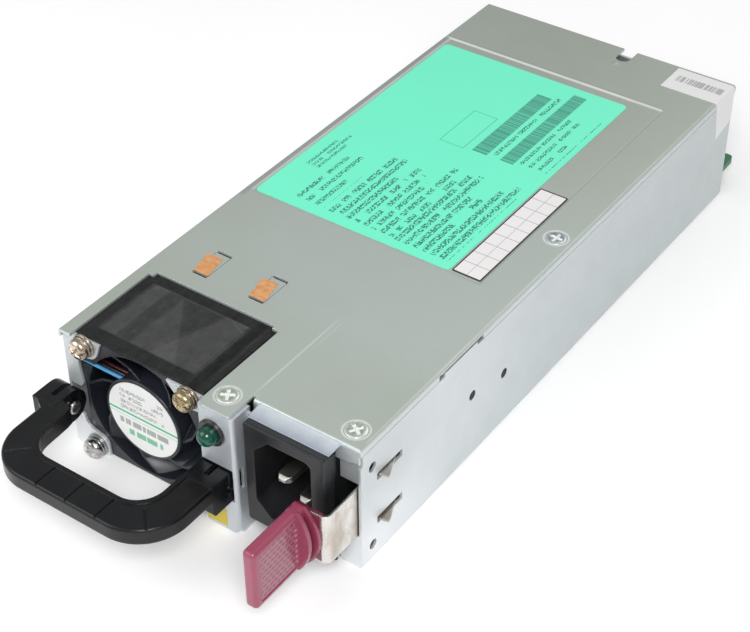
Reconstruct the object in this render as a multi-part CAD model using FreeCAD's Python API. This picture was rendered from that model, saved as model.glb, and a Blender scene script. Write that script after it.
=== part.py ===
import FreeCAD, Part
import math
import os

"""Hot swap server power supply.

Millimetres, +Z up, +Y from the handle end to the card edge, +X to the latch side.
The origin is on the underside, half way between the side walls, in the plane of the inlet's front.
The fan sets the height, and fan, light column, inlet and latch side by side set the width.
"""

V = FreeCAD.Vector
AXES = {"x": V(1, 0, 0), "y": V(0, 1, 0), "z": V(0, 0, 1)}

# ------------------------------------------------------------------ overall
fan_size = 37.6
fan_room = 0.45
fan_side = 5.0
column_gap = 2.0
column_w = 10.8
inlet_gap = 2.1
inlet_w = 23.1
latch_room = 5.4
body_d = 195.5
body_h = fan_size + 2 * fan_room
body_w = fan_side + fan_size + column_gap + column_w + inlet_gap + inlet_w + latch_room
left = -body_w / 2
right = body_w / 2

# ------------------------------------------------------------------ housing
sheet = 0.8
bend = 1.2
seam = 0.15
cover_low = body_h - sheet
cover_round = 0.9
front_flange_h = 5.3
flange_low = body_h - front_flange_h
flange_drop = 2.15
wall_top = body_h - flange_drop - seam
step_y = 7.0
sheet_front = 0.2
wall_front = 1.5
hole_gap = 0.15
vent_w = 5.2
vent_h = 4.8
vent_pitch = 6.7
vent_rise = 7.0
vent_edge = 9.0
notch_w = 4.5
notch_l = 7.0
notch_x = left + 51.25

dish = 0.25
cover_head_r = 2.8
cover_screw_r = 1.2
screw_edge = 5.0

# ------------------------------------------------------------------ fan bay
fan_depth = 28.0
fan_x = left + fan_side + fan_size / 2
fan_foot = 0.4
fan_z = fan_foot + fan_size / 2
fan_gap = 0.1
fan_y = wall_front + sheet + fan_gap
fan_hole_inset = 2.3
fan_pitch = fan_size - 2 * fan_hole_inset
fan_corner = 4.2
flange_t = 4.0
duct_wall = 0.35
bore_r = fan_size / 2 - 0.7
hub_r = 11.9
hub_proud = 0.5
hub_l = 2.9
label_r = 11.0
blade_count = 7
vane_count = 7
tip_gap = 0.5
vane_l = 7.0
cap_r = 9.6
lead_count = 3
lead_r = 0.5
lead_pitch = 1.15
lead_z = fan_z + 9.6
plug_y = 46.0
plug_h = 6.0
shaft_skin = 0.4
shaft_r = 1.5
bearing_r = 3.0
bearing_l = 3.0
sleeve_r = 3.4
fan_screw_r = 1.4
fan_head_r = 2.9
fan_washer_r = 3.25
fan_washer_t = 1.4
fan_head_h = 2.4
running_gap = 0.03
column_left = left + fan_side + fan_size + column_gap
column_right = column_left + column_w
bay_left = left + fan_side - 1.0
bay_right = column_left + 0.4
bay_rear = fan_y + fan_depth + 0.6
divider_x = column_left - 1.1
film = 0.25

# ------------------------------------------------------------------ light column and inlet
column_front = -1.1
led_x = column_left + 4.6
led_drop = 7.3
led_z = body_h - led_drop
led_r = 2.5
bezel_r = 3.7
patch_w = 6.2
patch_h = 5.6
inlet_left = column_right + inlet_gap
inlet_low = 6.8
inlet_h = body_h - 0.5 - inlet_low
inlet_flange = 4.2
inlet_slope = 1.3
socket_w = 16.5
socket_h = inlet_h - 7.0
socket_x = inlet_left + inlet_w / 2 - 0.3
socket_z = inlet_low + inlet_h / 2 + 0.3
socket_depth = 16.0
socket_bevel = 4.3
socket_rear = 3.2
blade_w = 4.0
blade_t = 2.0
blade_pitch = 14.0
tail = 7.0
panel_gap = 0.1
plate_y = inlet_flange + panel_gap
plate_right = inlet_left + inlet_w - 0.3
plate_top = inlet_low + inlet_h - inlet_slope - 0.2

# ------------------------------------------------------------------ handle
grip_t = 5.0
grip_top = 20.6
grip_round = 0.9
rim_w = 1.3
rim_h = 0.3
groove_w = 0.5
groove_pitch = 9.3
handle_left = left + 0.6
handle_right = column_right - 1.5
handle_front = -30.6
bar_w = 8.8
left_bar_w = 7.6
bar_front = 8.4
arm_gap = 0.5
pivot_y = -1.75
pivot_z = 16.0
cheek_r = 4.65
slot_gap = 0.35
pin_r = 1.2
ear_half = pin_r + 1.6

# ------------------------------------------------------------------ release latch
strip_t = 0.5
strip_out = right - sheet - 0.3
strip_in = strip_out - strip_t
strip_low = 11.0
strip_high = 26.2
strip_front = -4.8
strip_bend = 1.8
strip_end = right - 8.8
hinge_y = 50.0
base_l = 26.0
tooth_reach = 2.4
tooth_y = 13.8
tooth_l = 7.4
rivet_r = 1.2
rivet_places = [(54.1, 20.9), (69.1, 17.5)]
lever_l = 19.2
lever_t = 3.6
lever_x = right - 10.4
lever_low = 9.4
lever_high = 27.3
lever_round = 1.2
fin_t = 1.2
fin_reach = 3.2
fin_gap = 1.3

# ------------------------------------------------------------------ cover labels
strap_y = 36.6
strap_l = 9.9
strap_w = 4.7
recess_depth = 0.35
recess_slope = 0.5
recess_x0 = left + 2.0
recess_x1 = right - 10.8
recess_y0 = 73.2
recess_y1 = body_d - 24.2
paper = 0.12
label_gap = 0.9
table_w = 8.6
table_l = 43.8
strip_gap = 0.5
corner_w = 18.2
corner_l = 11.6

# ------------------------------------------------------------------ board and what stands on it
board_t = 2.0
board_low = 5.4
board_top = board_low + board_t
board_right = right - sheet - 0.9
board_left = left + sheet + 0.9
board_front = 33.0
tongue_end = body_d + 10.5
tongue_left = left + 22.0
finger_pitch = 4.2
finger_w = 2.8
finger_l = 8.0
plating = 0.1
post_r = 2.6
bulk_r = 10.2
bulk_l = 46.0
bulk_y = 38.0
bulk_x = left + 16.5
bulk_pitch = 21.0
part_gap = 4.0
sink_y0 = bulk_y + bulk_l + part_gap
sink_y1 = body_d - 49.5
sink_x = left + 30.0
sink_top = cover_low - 3.3
fin_pitch = 5.0
core_l = 32.0
core_w = 28.0
core_h = 24.0
core_x = left + 38.0
core_y = sink_y1 + 2.0 - core_l
window_w = 18.0
window_h = 14.0
choke_w = 18.0
choke_h = 16.0
choke_y = sink_y1 + part_gap + 2.0
out_cap_r = 4.0
out_cap_h = 14.0
out_cap_y = body_d - 15.5
card_x = right - 13.0
card_t = 1.6
card_y0 = sink_y1 - 24.0
card_y1 = body_d - 23.5
card_top = cover_low - 6.3


# ------------------------------------------------------------------ shape helpers
def box(x0, x1, y0, y1, z0, z1):
    """A block between six planes."""
    return Part.makeBox(x1 - x0, y1 - y0, z1 - z0, V(x0, y0, z0))


def rod(x, y, z, r, length, axis):
    """A round bar that starts at a point and runs along x, y or z."""
    return Part.makeCylinder(r, length, V(x, y, z), AXES[axis])


def join(shapes):
    """One solid from shapes that meet."""
    whole = shapes[0]
    if len(shapes) > 1:
        whole = whole.fuse(shapes[1:])
    return whole.removeSplitter()


def lift(plane, a, b, level):
    """A point of a flat outline, placed in the plane xy, xz or yz."""
    places = {"xy": V(a, b, level), "xz": V(a, level, b), "yz": V(level, a, b)}
    return places[plane]


def rounded_corner(before, corner, after, radius):
    """Start, middle and end of the arc that rounds a corner."""
    into = (before - corner).normalize()
    out = (after - corner).normalize()
    half = into.getAngle(out) / 2
    inward = (into + out).normalize()
    reach = radius / math.tan(half)
    middle = corner + inward * (radius / math.sin(half) - radius)
    return corner + into * reach, middle, corner + out * reach


def outline(points, plane, level):
    """A closed wire through points (a, b) or (a, b, corner radius)."""
    spots = [lift(plane, p[0], p[1], level) for p in points]
    corners = []
    for i, p in enumerate(points):
        radius = p[2] if len(p) > 2 else 0
        if radius:
            after = spots[(i + 1) % len(spots)]
            corners.append(rounded_corner(spots[i - 1], spots[i], after, radius))
        else:
            corners.append((spots[i], None, spots[i]))
    edges = []
    for i, (start, middle, end) in enumerate(corners):
        if middle is not None:
            edges.append(Part.Arc(start, middle, end).toShape())
        following = corners[(i + 1) % len(corners)][0]
        if (following - end).Length > 1e-6:
            edges.append(Part.LineSegment(end, following).toShape())
    return Part.Wire(edges)


def plate(points, plane, low, high):
    """A flat outline given thickness between two levels."""
    normals = {"xy": AXES["z"], "xz": AXES["y"], "yz": AXES["x"]}
    return Part.Face(outline(points, plane, low)).extrude(normals[plane] * (high - low))


def rect(a0, a1, b0, b1, radius=0):
    """Corner list of a rectangle with one corner radius."""
    return [(a0, b0, radius), (a1, b0, radius), (a1, b1, radius), (a0, b1, radius)]


def tapered_pad(x0, x1, y0, y1, z0, z1, slope, radius=0):
    """A raised field whose four sides lean in by the slope."""
    base = outline(rect(x0, x1, y0, y1, radius), "xy", z0)
    top = outline(rect(x0 + slope, x1 - slope, y0 + slope, y1 - slope, radius), "xy", z1)
    return Part.makeLoft([base, top], True, True)


def wire_run(points, radius, bends):
    """A round lead along straight runs joined by tangent arcs."""
    edges = []
    start = points[0]
    for i in range(1, len(points) - 1):
        first, middle, last = rounded_corner(points[i - 1], points[i], points[i + 1], bends)
        edges.append(Part.LineSegment(start, first).toShape())
        edges.append(Part.Arc(first, middle, last).toShape())
        start = last
    edges.append(Part.LineSegment(start, points[-1]).toShape())
    path = Part.Wire(edges)
    ring = Part.Wire(Part.makeCircle(radius, points[0], points[1] - points[0]))
    return path.makePipeShell([ring], True, True)


def save(name, shape):
    """Write one named piece."""
    shape.exportStep("parts/" + name + ".step")


# ------------------------------------------------------------------ sheet metal
def side_holes():
    """Round holes and latch slots of the latch-side wall."""
    tools = []
    for y, z in [(step_y + 4.5, strip_high + 4.0), (step_y + 4.5, 4.9)] + rivet_places:
        tools.append(rod(right - 2, y, z, rivet_r + 0.2, 4, "x"))
    for low in (strip_high - 1.7, strip_low - 0.7):
        tools.append(box(right - 2, right + 1, tooth_y - 0.5, tooth_y + tooth_l + 2.4, low, low + 2.2))
    return tools


def fan_lug_outlines():
    """Two ears on the open side of the fan bay, as outlines in the front plane."""
    top = cover_low - 0.1
    upper_z = fan_z + fan_pitch / 2
    lower_z = fan_z - fan_pitch / 2
    hole_x = fan_x - fan_pitch / 2
    inner = left + sheet + seam
    upper = [(left, pivot_z + 4.7), (left + 5.0, pivot_z + 4.7, 1.6), (hole_x - 3.4, upper_z - 5.0, 3.0),
             (hole_x + 3.0, upper_z - 3.6, 3.4), (hole_x + 5.0, top), (inner, top), (inner, wall_top),
             (left, wall_top)]
    lower = [(left + bend, 0), (hole_x + 3.8, 0, 0.6), (hole_x + 3.4, lower_z + 3.2, 3.0),
             (hole_x - 3.2, lower_z + 5.0, 3.0), (left + 3.4, pivot_z - 4.7, 1.0), (left, pivot_z - 4.7),
             (left, bend)]
    return [(upper, upper_z), (lower, lower_z)]


def ear_outline(rear):
    """Outline of the ear that carries one handle pin."""
    low = pivot_z - ear_half
    high = pivot_z + ear_half
    front = pivot_y - ear_half
    return [(rear, low), (rear, high), (front, high, ear_half - 0.05), (front, low, ear_half - 0.05)]


def make_tray():
    """Base and both side walls, bent from one sheet, with lugs, ear and front tabs."""
    profile = [(left, wall_top), (left, 0, bend), (right, 0, bend), (right, wall_top),
               (right - sheet, wall_top), (right - sheet, sheet, bend - sheet),
               (left + sheet, sheet, bend - sheet), (left + sheet, wall_top)]
    tray = plate(profile, "xz", sheet_front, body_d - sheet)
    tools = [box(left - 1, column_left, -5, wall_front, -1, body_h)]
    tools.append(box(column_right, right + 1, -5, step_y, -1, body_h))
    tools.append(box(bay_left, divider_x + sheet + 0.1, -5, bay_rear, -1, 5))
    tools.append(box(right - sheet - 0.1, right + 1, -5, step_y + sheet + seam, flange_low - seam, body_h))
    tools += side_holes()
    parts = [tray.cut(tools)]
    for points, screw_z in fan_lug_outlines():
        lug = plate(points, "xz", wall_front, wall_front + sheet)
        hole = rod(fan_x - fan_pitch / 2, wall_front - 1, screw_z, fan_screw_r + hole_gap, 3, "y")
        parts.append(lug.cut(hole))
    parts.append(plate(ear_outline(wall_front + 1), "yz", left, left + sheet))
    tab_y = step_y + sheet + seam
    parts.append(box(right - 6.6, right - sheet / 2, tab_y, tab_y + sheet, strip_high + 0.45, wall_top - 0.3))
    parts.append(box(right - 6.4, right - sheet / 2, step_y, step_y + sheet, sheet / 2, strip_low - 0.4))
    parts.append(box(right - sheet, right, hinge_y - 8.6, hinge_y + 5.6, wall_top - 1, cover_low - 0.1))
    return join(parts).cut(rod(left - 1, pivot_y, pivot_z, pin_r, 3, "x"))


def make_cover_top():
    """Flat sheet of the cover with its tab, fan opening, notch and lanced straps."""
    tab_left = bay_right + 0.1
    edge = [(left, sheet_front), (bay_left, sheet_front), (bay_left, bay_rear - 1.5),
            (bay_left + 1.5, bay_rear - 1.5), (bay_left + 1.5, bay_rear),
            (bay_right - 2.0, bay_rear), (bay_right - 2.0, bay_rear - 1.0),
            (tab_left, bay_rear - 1.0), (tab_left, column_front, 2.2),
            (column_right - 0.8, column_front, 0.5), (column_right - 0.8, step_y + 1.2),
            (column_right, step_y + 1.2), (column_right, step_y), (right, step_y),
            (right, body_d), (left, body_d)]
    top = plate(edge, "xy", cover_low, body_h)
    notch = plate([(notch_x - notch_w / 2, body_d + 1), (notch_x - notch_w / 2, body_d - notch_l, 2.2),
                   (notch_x + notch_w / 2, body_d - notch_l, 2.2), (notch_x + notch_w / 2, body_d + 1)],
                  "xy", cover_low - 1, body_h + 1)
    tools = [notch]
    for x in strap_places():
        for y in (strap_y, strap_y + strap_l):
            tools.append(box(x - strap_w / 2, x + strap_w / 2, y - 0.5, y + 0.5, cover_low - 1, body_h + 1))
        for side in (-1, 1):
            edge_x = x + side * strap_w / 2
            tools.append(box(edge_x - 0.12, edge_x + 0.12, strap_y, strap_y + strap_l, body_h - 0.3, body_h + 1))
    return top.cut(tools)


def strap_places():
    """Middles of the two lanced straps behind the fan bay."""
    return [fan_x - 9.0, fan_x + 9.1]


def label_recess(low, high):
    """The shallow field that takes the rating label."""
    return tapered_pad(recess_x0, recess_x1, recess_y0, recess_y1, high, low, recess_slope)


def cover_screw_places():
    """Where the cover is screwed down."""
    return [(column_left + screw_edge, 4.8), (right - screw_edge, 12.3), (right - screw_edge, 101.0)]


def make_cover():
    """Cover: top sheet, two side flanges, a front flange and formed details."""
    rim_low = wall_top + seam
    rim = [(left, rim_low), (left, body_h, cover_round), (right, body_h, cover_round), (right, rim_low),
           (right - sheet, rim_low), (right - sheet, cover_low), (left + sheet, cover_low),
           (left + sheet, rim_low)]
    channel = plate(rim, "xz", sheet_front, body_d)
    round_edge = [(left, -5), (left, body_h, cover_round), (right, body_h, cover_round), (right, -5)]
    top = make_cover_top().common(plate(round_edge, "xz", -5, body_d))
    flanges = channel.cut([box(left + sheet + 0.2, right - sheet - 0.2, -5, body_d + 1, 0, body_h + 1),
                           box(0, right + 1, -5, step_y, 0, body_h + 1)])
    front = plate([(step_y, flange_low), (step_y, body_h, cover_round), (step_y + 3, body_h),
                   (step_y + 3, cover_low), (step_y + sheet, cover_low), (step_y + sheet, flange_low)],
                  "yz", column_right, right - 0.5)
    corner = plate([(right - 4, 20), (right - 4, flange_low), (right - 0.5, flange_low + 1.1, 1.0), (right + 2, 20)],
                   "xz", step_y - 1, step_y + sheet)
    window = plate(inlet_body_outline(0.3), "xz", step_y - 1, step_y + 2)
    pad_low = label_level()
    cover = join([top] + flanges.Solids + [front.cut([corner, window])])
    under = label_recess(pad_low - sheet, cover_low + 0.01)
    cover = join([cover, under]).cut(label_recess(pad_low, body_h + 0.01))
    tools = [box(right - sheet - 0.1, right + 1, hinge_y - 11.1, hinge_y + 8.3, rim_low - 1, cover_low + 0.05)]
    tools.append(plate([(step_y - 1, body_h + 1), (step_y - 1, 0), (step_y, 0), (step_y, body_h, cover_round),
                        (step_y + 4, body_h), (step_y + 4, body_h + 1)], "yz", column_right - 0.2, right + 1))
    for x, y in cover_screw_places():
        tools.append(rod(x, y, cover_low - 1, cover_screw_r + 0.4, 3, "z"))
        tools.append(rod(x, y, body_h - dish, cover_head_r + 0.2, 1, "z"))
    pip = Part.makeSphere(1.6, V(notch_x - 0.4, body_d - notch_l - 2.0, body_h - 1.2))
    return join([cover.cut(tools), pip.cut(box(left, right, pip.BoundBox.YMin - 1, body_d, 0, body_h - 0.4))])


def make_fan_bracket():
    """Inner wall of the fan bay with two screw lugs and a foot on the base."""
    low = sheet + 0.1
    high = cover_low - 0.1
    wall_high = cover_low - film - 0.1
    parts = [box(divider_x, divider_x + sheet, wall_front + sheet / 2, bay_rear, low, wall_high)]
    hole_x = fan_x + fan_pitch / 2
    for sign, tip in ((1, high), (-1, low)):
        z = fan_z + sign * fan_pitch / 2
        lug = plate([(divider_x + sheet / 2, tip), (divider_x + sheet / 2, z - sign * 3.4),
                     (hole_x - 1.4, z - sign * 4.2, 2.5), (hole_x - 4.8, z - sign * 1.0, 2.5),
                     (hole_x - 7.0, tip)], "xz", wall_front, wall_front + sheet)
        parts.append(lug.cut(rod(hole_x, wall_front - 1, z, fan_screw_r + hole_gap, 3, "y")))
    parts.append(box(divider_x, divider_x + 9.0, plate_y + 4.0, bay_rear - 2.0, low, low + sheet))
    return join(parts)


def arm_ear_x():
    """Inner face of the ear inside the handle's right arm."""
    return handle_right - bar_w / 2 - sheet / 2


def make_front_bracket():
    """Light column and inlet panel, bent from one sheet, with the handle's right ear."""
    low = 0.3
    high = cover_low - 0.1
    web_y = plate_y + sheet + 0.5
    half = cheek_r + arm_gap
    column = plate([(column_left, web_y), (column_left, column_front, bend),
                    (column_right, column_front, bend), (column_right, web_y),
                    (column_right - sheet, web_y), (column_right - sheet, column_front + sheet, bend - sheet),
                    (column_left + sheet, column_front + sheet, bend - sheet), (column_left + sheet, web_y)],
                   "xy", low, high)
    foot_cut = plate([(column_right - 3, low), (column_right, low, 2.6), (column_right, low + 3),
                      (column_right + 1, low + 3), (column_right + 1, low - 1), (column_right - 3, low - 1)],
                     "xz", column_front - 1, sheet_front - 0.1)
    base_cut = box(column_left - 1, column_right + 1, sheet_front - 0.1, web_y + 2, 0, sheet + 0.1)
    panel = box(column_right - sheet / 2, plate_right, plate_y, plate_y + sheet, 2.0, plate_top)
    cap = box(column_left + sheet / 2, column_right - sheet / 2, column_front + sheet / 2, web_y, high - sheet, high)
    ear_x = arm_ear_x()
    ear = plate(ear_outline(web_y + sheet / 2), "yz", ear_x, ear_x + sheet)
    web = box(column_left + sheet / 2, column_right - sheet / 2, web_y - sheet / 2, web_y + sheet / 2,
              pivot_z - 2.8, pivot_z + 2.8)
    arm_left = handle_right - bar_w - arm_gap
    tools = [foot_cut, base_cut,
             box(arm_left, handle_right + arm_gap, column_front - 1, column_front + sheet + 0.5,
                 pivot_z - half, pivot_z + half),
             box(column_left - 1, column_left + sheet + 0.01, column_front - 1, pivot_y + cheek_r + arm_gap,
                 pivot_z - half, pivot_z + half),
             box(column_right - 2, column_right + 1, column_front + 1.4, column_front + 2.8, 14.6, 21.2),
             rod(led_x, column_front - 1, led_z, bezel_r - 0.6, 4, "y"),
             rod(cover_screw_places()[0][0], cover_screw_places()[0][1], high - 3, cover_screw_r + 0.05, 5, "z"),
             plate(inlet_body_outline(panel_gap), "xz", plate_y - 1, plate_y + 2)]
    shell = join([column, panel, cap]).cut(tools)
    return join([shell, web, ear]).cut(rod(ear_x - 1, pivot_y, pivot_z, pin_r, 3, "x"))


def make_rear_panel():
    """Rear wall with the card-edge opening and rows of vents."""
    face = plate(rect(left + sheet, right - sheet, sheet, wall_top, 0.4), "xz", body_d - sheet, body_d)
    tools = [box(tongue_left - 1.5, board_right + 0.3, body_d - 2, body_d + 1, board_low - 1.5, board_top + 3.0)]
    columns = int((body_w - 2 * vent_edge) / vent_pitch) + 1
    for row in range(3):
        for column in range(columns):
            x = (column - (columns - 1) / 2) * vent_pitch
            z = board_top + 9.1 + row * vent_rise
            vent = rect(x - vent_w / 2, x + vent_w / 2, z - vent_h / 2, z + vent_h / 2)
            tools.append(plate(vent, "xz", body_d - 2, body_d + 1))
    return face.cut(tools)


# ------------------------------------------------------------------ skins and labels
def film_form(shrink, front, z0, z1):
    """Pad over the fan with round rear corners."""
    x0 = bay_left + 0.3 + shrink
    x1 = bay_right - 0.4 - shrink
    y1 = bay_rear - 0.15 - shrink
    points = [(x0, front), (x1, front), (x1, y1, 4.3 - shrink), (x0, y1, 4.5 - shrink)]
    return plate(points, "xy", z0, z1)


def make_film():
    """Thin insulating film over the open top of the fan bay, with a formed middle field."""
    film_front = wall_front + sheet + 0.05
    under = fan_z + fan_size / 2 + 0.04
    rim = box(bay_left - 1.8, column_left - 0.1, film_front, bay_rear + 1.5, cover_low - film, cover_low)
    pad = film_form(0, film_front, cover_low - film, under + film)
    hollow = film_form(film, film_front - 1, cover_low - 2 * film, under)
    field = tapered_pad(fan_x - fan_size / 2 + 4.6, fan_x + fan_size / 2 - 3.6, fan_y + flange_t,
                        fan_y + fan_depth - flange_t, under + film / 2, under + film + 0.15, 0.3, 1.0)
    return join([join([rim, pad]).cut(hollow), field])


def make_tapes():
    """Two strips of heat-proof tape over the lanced straps."""
    strips = []
    y0 = strap_y + 0.3
    for x, lean in zip(strap_places(), (-1.2, -1.4)):
        strips.append(plate([(x - 2.4, y0), (x + 2.4, y0), (x + 2.1 + lean, y0 + 7.8), (x - 2.6 + lean, y0 + 7.3)],
                            "xy", body_h, body_h + paper))
    return strips


def label_level():
    """Height of the recessed field of the cover."""
    return body_h - recess_depth


def make_rating_label():
    """Large label in the recess."""
    field = rect(recess_x0 + label_gap, recess_x1 - table_w - 1.2, recess_y0 + 0.8, recess_y1 - 3.5, 1.5)
    return plate(field, "xy", label_level(), label_level() + paper)


def make_table_label():
    """Narrow label beside the large one."""
    x1 = recess_x1 - 0.7
    return plate(rect(x1 - table_w, x1, recess_y0 + 1.4, recess_y0 + 1.4 + table_l, 0.4),
                 "xy", label_level(), label_level() + paper)


def make_corner_label():
    """Small label folded over the rear edge of the latch side."""
    y1 = body_d - label_gap
    y0 = y1 - corner_l
    low = body_h - 14.0
    outer = cover_round + paper
    folded = [(right - corner_w, body_h), (right - corner_w, body_h + paper), (right + paper, body_h + paper, outer),
              (right + paper, low), (right, low), (right, body_h, cover_round)]
    slant = plate([(y0 - 1, low - 1), (y0 + 2.6, low - 1), (y0 + 2.6, low), (y0, body_h), (y0 - 1, body_h)],
                  "yz", right - 1, right + 1)
    foot = plate([(y0, low - 1), (y1 + 1, low - 1), (y1 + 1, low + 3.0), (y0, low)], "yz", right - 1, right + 1)
    return plate(folded, "xz", y0, y1).cut([slant, foot])


def screw(r_head, h_head, r_shank, l_shank):
    """Cross-recess screw standing on z = 0, head up, turned from one profile."""
    profile = [V(0, 0, -l_shank), V(r_shank, 0, -l_shank), V(r_shank, 0, 0), V(r_head, 0, 0),
               V(r_head, 0, h_head * 0.45), V(r_head * 0.90, 0, h_head * 0.75), V(r_head * 0.68, 0, h_head),
               V(0, 0, h_head)]
    turned = Part.Face(Part.makePolygon(profile + [profile[0]])).revolve(V(0, 0, 0), AXES["z"], 360)
    arm = r_head * 0.55
    deep = h_head - min(0.7, 0.6 * h_head)
    slots = [box(-arm, arm, -0.3, 0.3, deep, h_head + 1),
             box(-0.3, 0.3, -arm, arm, deep, h_head + 1)]
    return turned.cut(slots)


def make_cover_screws():
    """Flat screws of the cover."""
    screws = []
    for x, y in cover_screw_places():
        piece = screw(cover_head_r, 0.55, cover_screw_r, 3.0)
        piece.translate(V(x, y, body_h - dish))
        screws.append(piece)
    return screws


# ------------------------------------------------------------------ fan
def spin_copies(shape, count, centre, axis, start=0):
    """Equal copies turned about an axis."""
    copies = []
    for i in range(count):
        piece = shape.copy()
        piece.rotate(centre, axis, start + 360.0 * i / count)
        copies.append(piece)
    return copies


def fan_corners():
    """Screw places of the fan in the front plane."""
    half = fan_pitch / 2
    return [(fan_x + sx * half, fan_z + sz * half) for sx in (-1, 1) for sz in (-1, 1)]


def swept_blade(y0, y1, inner, outer, thick, turn, lean):
    """One blade lofted through three sections that turn about the fan's axis on the way back."""
    sections = []
    middle = (inner + outer) / 2
    for part_way in (0, 0.5, 1):
        spots = []
        for radius, side in ((inner, 1), (middle, 1), (outer, 1), (outer, -1), (middle, -1), (inner, -1)):
            angle = math.radians(turn * part_way + lean * (radius - inner) / (outer - inner))
            shift = side * thick / 2
            spots.append(V(fan_x + radius * math.cos(angle) - shift * math.sin(angle), y0 + (y1 - y0) * part_way,
                           fan_z + radius * math.sin(angle) + shift * math.cos(angle)))
        sections.append(Part.makePolygon(spots + [spots[0]]))
    return Part.makeLoft(sections, True, False)


def lead_level(k):
    """Depth of one fan lead where it crosses the front flange."""
    return fan_y + lead_r + 0.15 + k * lead_pitch


def make_fan_frame():
    """Fan housing: two square flanges, a round duct, swept stator vanes and the motor seat."""
    half = fan_size / 2
    square = rect(fan_x - half, fan_x + half, fan_z - half, fan_z + half, fan_corner)
    front = plate(square, "xz", fan_y, fan_y + flange_t)
    rear = plate(square, "xz", fan_y + fan_depth - flange_t, fan_y + fan_depth)
    duct = rod(fan_x, fan_y, fan_z, bore_r + duct_wall, fan_depth, "y")
    tools = [rod(fan_x, fan_y - 1, fan_z, bore_r, fan_depth + 2, "y")]
    for x, z in fan_corners():
        tools.append(rod(x, fan_y - 1, z, fan_screw_r + 0.02, fan_depth + 2, "y"))
    lead_x = fan_x - math.sqrt(bore_r ** 2 - (lead_z - fan_z) ** 2)
    tools.append(box(fan_x - half - 1, lead_x + 1, fan_y - 1, lead_level(lead_count - 1) + lead_r + 0.15,
                     lead_z - lead_r - 0.15, lead_z + lead_r + 0.15))
    shell = join([front, rear, duct]).cut(tools)
    hub_front = fan_y - hub_proud
    hub = rod(fan_x, hub_front, fan_z, hub_r, hub_proud + vane_l, "y")
    hub = hub.makeFillet(0.5, [hub.Edges[2]])
    hub = hub.cut(rod(fan_x, hub_front + hub_l, fan_z, hub_r - 0.9, vane_l, "y"))
    sleeve = rod(fan_x, hub_front, fan_z, sleeve_r, 15.4, "y")
    vane = swept_blade(fan_y + 0.6, fan_y + vane_l, hub_r - 0.5, bore_r + 0.15, 1.0, 24, 30)
    vanes = spin_copies(vane, vane_count, V(fan_x, 0, fan_z), AXES["y"], 12)
    whole = join([shell, hub, sleeve] + vanes)
    sink = rod(fan_x, hub_front - 1, fan_z, label_r + 0.1, 1 + paper, "y")
    seat = rod(fan_x, hub_front + hub_l, fan_z, bearing_r, 20, "y")
    return whole.cut([sink, seat])


def make_impeller():
    """Hub cap and swept blades."""
    y0 = fan_y + vane_l + 1.2
    y1 = fan_y + fan_depth - 1.2
    wall = 1.0
    cap = rod(fan_x, y0, fan_z, cap_r, y1 - y0, "y")
    cap = cap.makeChamfer(1.0, [cap.Edges[0]])
    inside = rod(fan_x, y0 - 1, fan_z, cap_r - wall, y1 - y0 + 1 - wall, "y")
    outer = bore_r - tip_gap
    blade = swept_blade(y0 + 0.8, y1 - 1.0, cap_r - 0.4, outer + 0.3, 0.9, -52, -24)
    trim = rod(fan_x, y0 - 1, fan_z, outer, y1 - y0 + 2, "y")
    blades = spin_copies(blade.common(trim), blade_count, V(fan_x, 0, fan_z), AXES["y"], 20)
    wheel = join([cap] + blades).cut(inside)
    stem = rod(fan_x, y1 - 4.0, fan_z, shaft_r + 0.9, 3.6, "y")
    return join([wheel, stem]).cut(rod(fan_x, y1 - 6, fan_z, shaft_r, 6.0 - shaft_skin, "y"))


def make_shaft():
    """Steel shaft pressed into the hub cap."""
    y0 = fan_y + 4.2
    return rod(fan_x, y0, fan_z, shaft_r, fan_y + fan_depth - 1.2 - shaft_skin - y0, "y")


def make_bearings():
    """Two bearings in the motor seat."""
    rings = []
    for y in (fan_y + 4.6, fan_y + 12.2):
        ring = rod(fan_x, y, fan_z, bearing_r, bearing_l, "y")
        rings.append(ring.cut(rod(fan_x, y - 1, fan_z, shaft_r + running_gap, bearing_l + 2, "y")))
    return rings


def make_stator():
    """Laminated stack with four wound poles on the motor sleeve."""
    y0 = fan_y + 9.6
    stack = 5.4
    core = rod(fan_x, y0, fan_z, 5.0, stack, "y")
    pole = box(fan_x - 1.0, fan_x + 1.0, y0, y0 + stack, fan_z + 4.5, fan_z + 7.6)
    shoe = rod(fan_x, y0, fan_z, 8.1, stack, "y").cut(rod(fan_x, y0 - 1, fan_z, 7.2, stack + 2, "y"))
    shoe = shoe.common(box(fan_x - 3.6, fan_x + 3.6, y0 - 1, y0 + stack + 1, fan_z, fan_z + 9))
    poles = spin_copies(join([pole, shoe]), 4, V(fan_x, 0, fan_z), AXES["y"])
    return join([core] + poles).cut(rod(fan_x, y0 - 1, fan_z, sleeve_r, stack + 2, "y"))


def make_fan_label():
    """Disc in the shallow sink of the hub."""
    return rod(fan_x, fan_y - hub_proud + 0.02, fan_z, label_r, 0.1, "y")


def make_fan_leads():
    """Leads from the motor hub through the notch of the front flange, back along the wall and down."""
    leads = []
    hub = rod(fan_x, fan_y - 2, fan_z, hub_r, fan_depth, "y")
    inner = fan_x - math.sqrt(hub_r ** 2 - (lead_z - fan_z) ** 2)
    drop_y = plug_y - 12.0
    end_z = board_top + plug_h / 2
    for k in range(lead_count):
        x = left + sheet + 1.0 + k * lead_pitch
        y = lead_level(k)
        points = [V(inner + 1.0, y, lead_z), V(x, y, lead_z), V(x, drop_y, lead_z),
                  V(x, plug_y - 3.0, end_z), V(x, plug_y, end_z)]
        leads.append(wire_run(points, lead_r, 1.4).cut(hub))
    return leads


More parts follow.
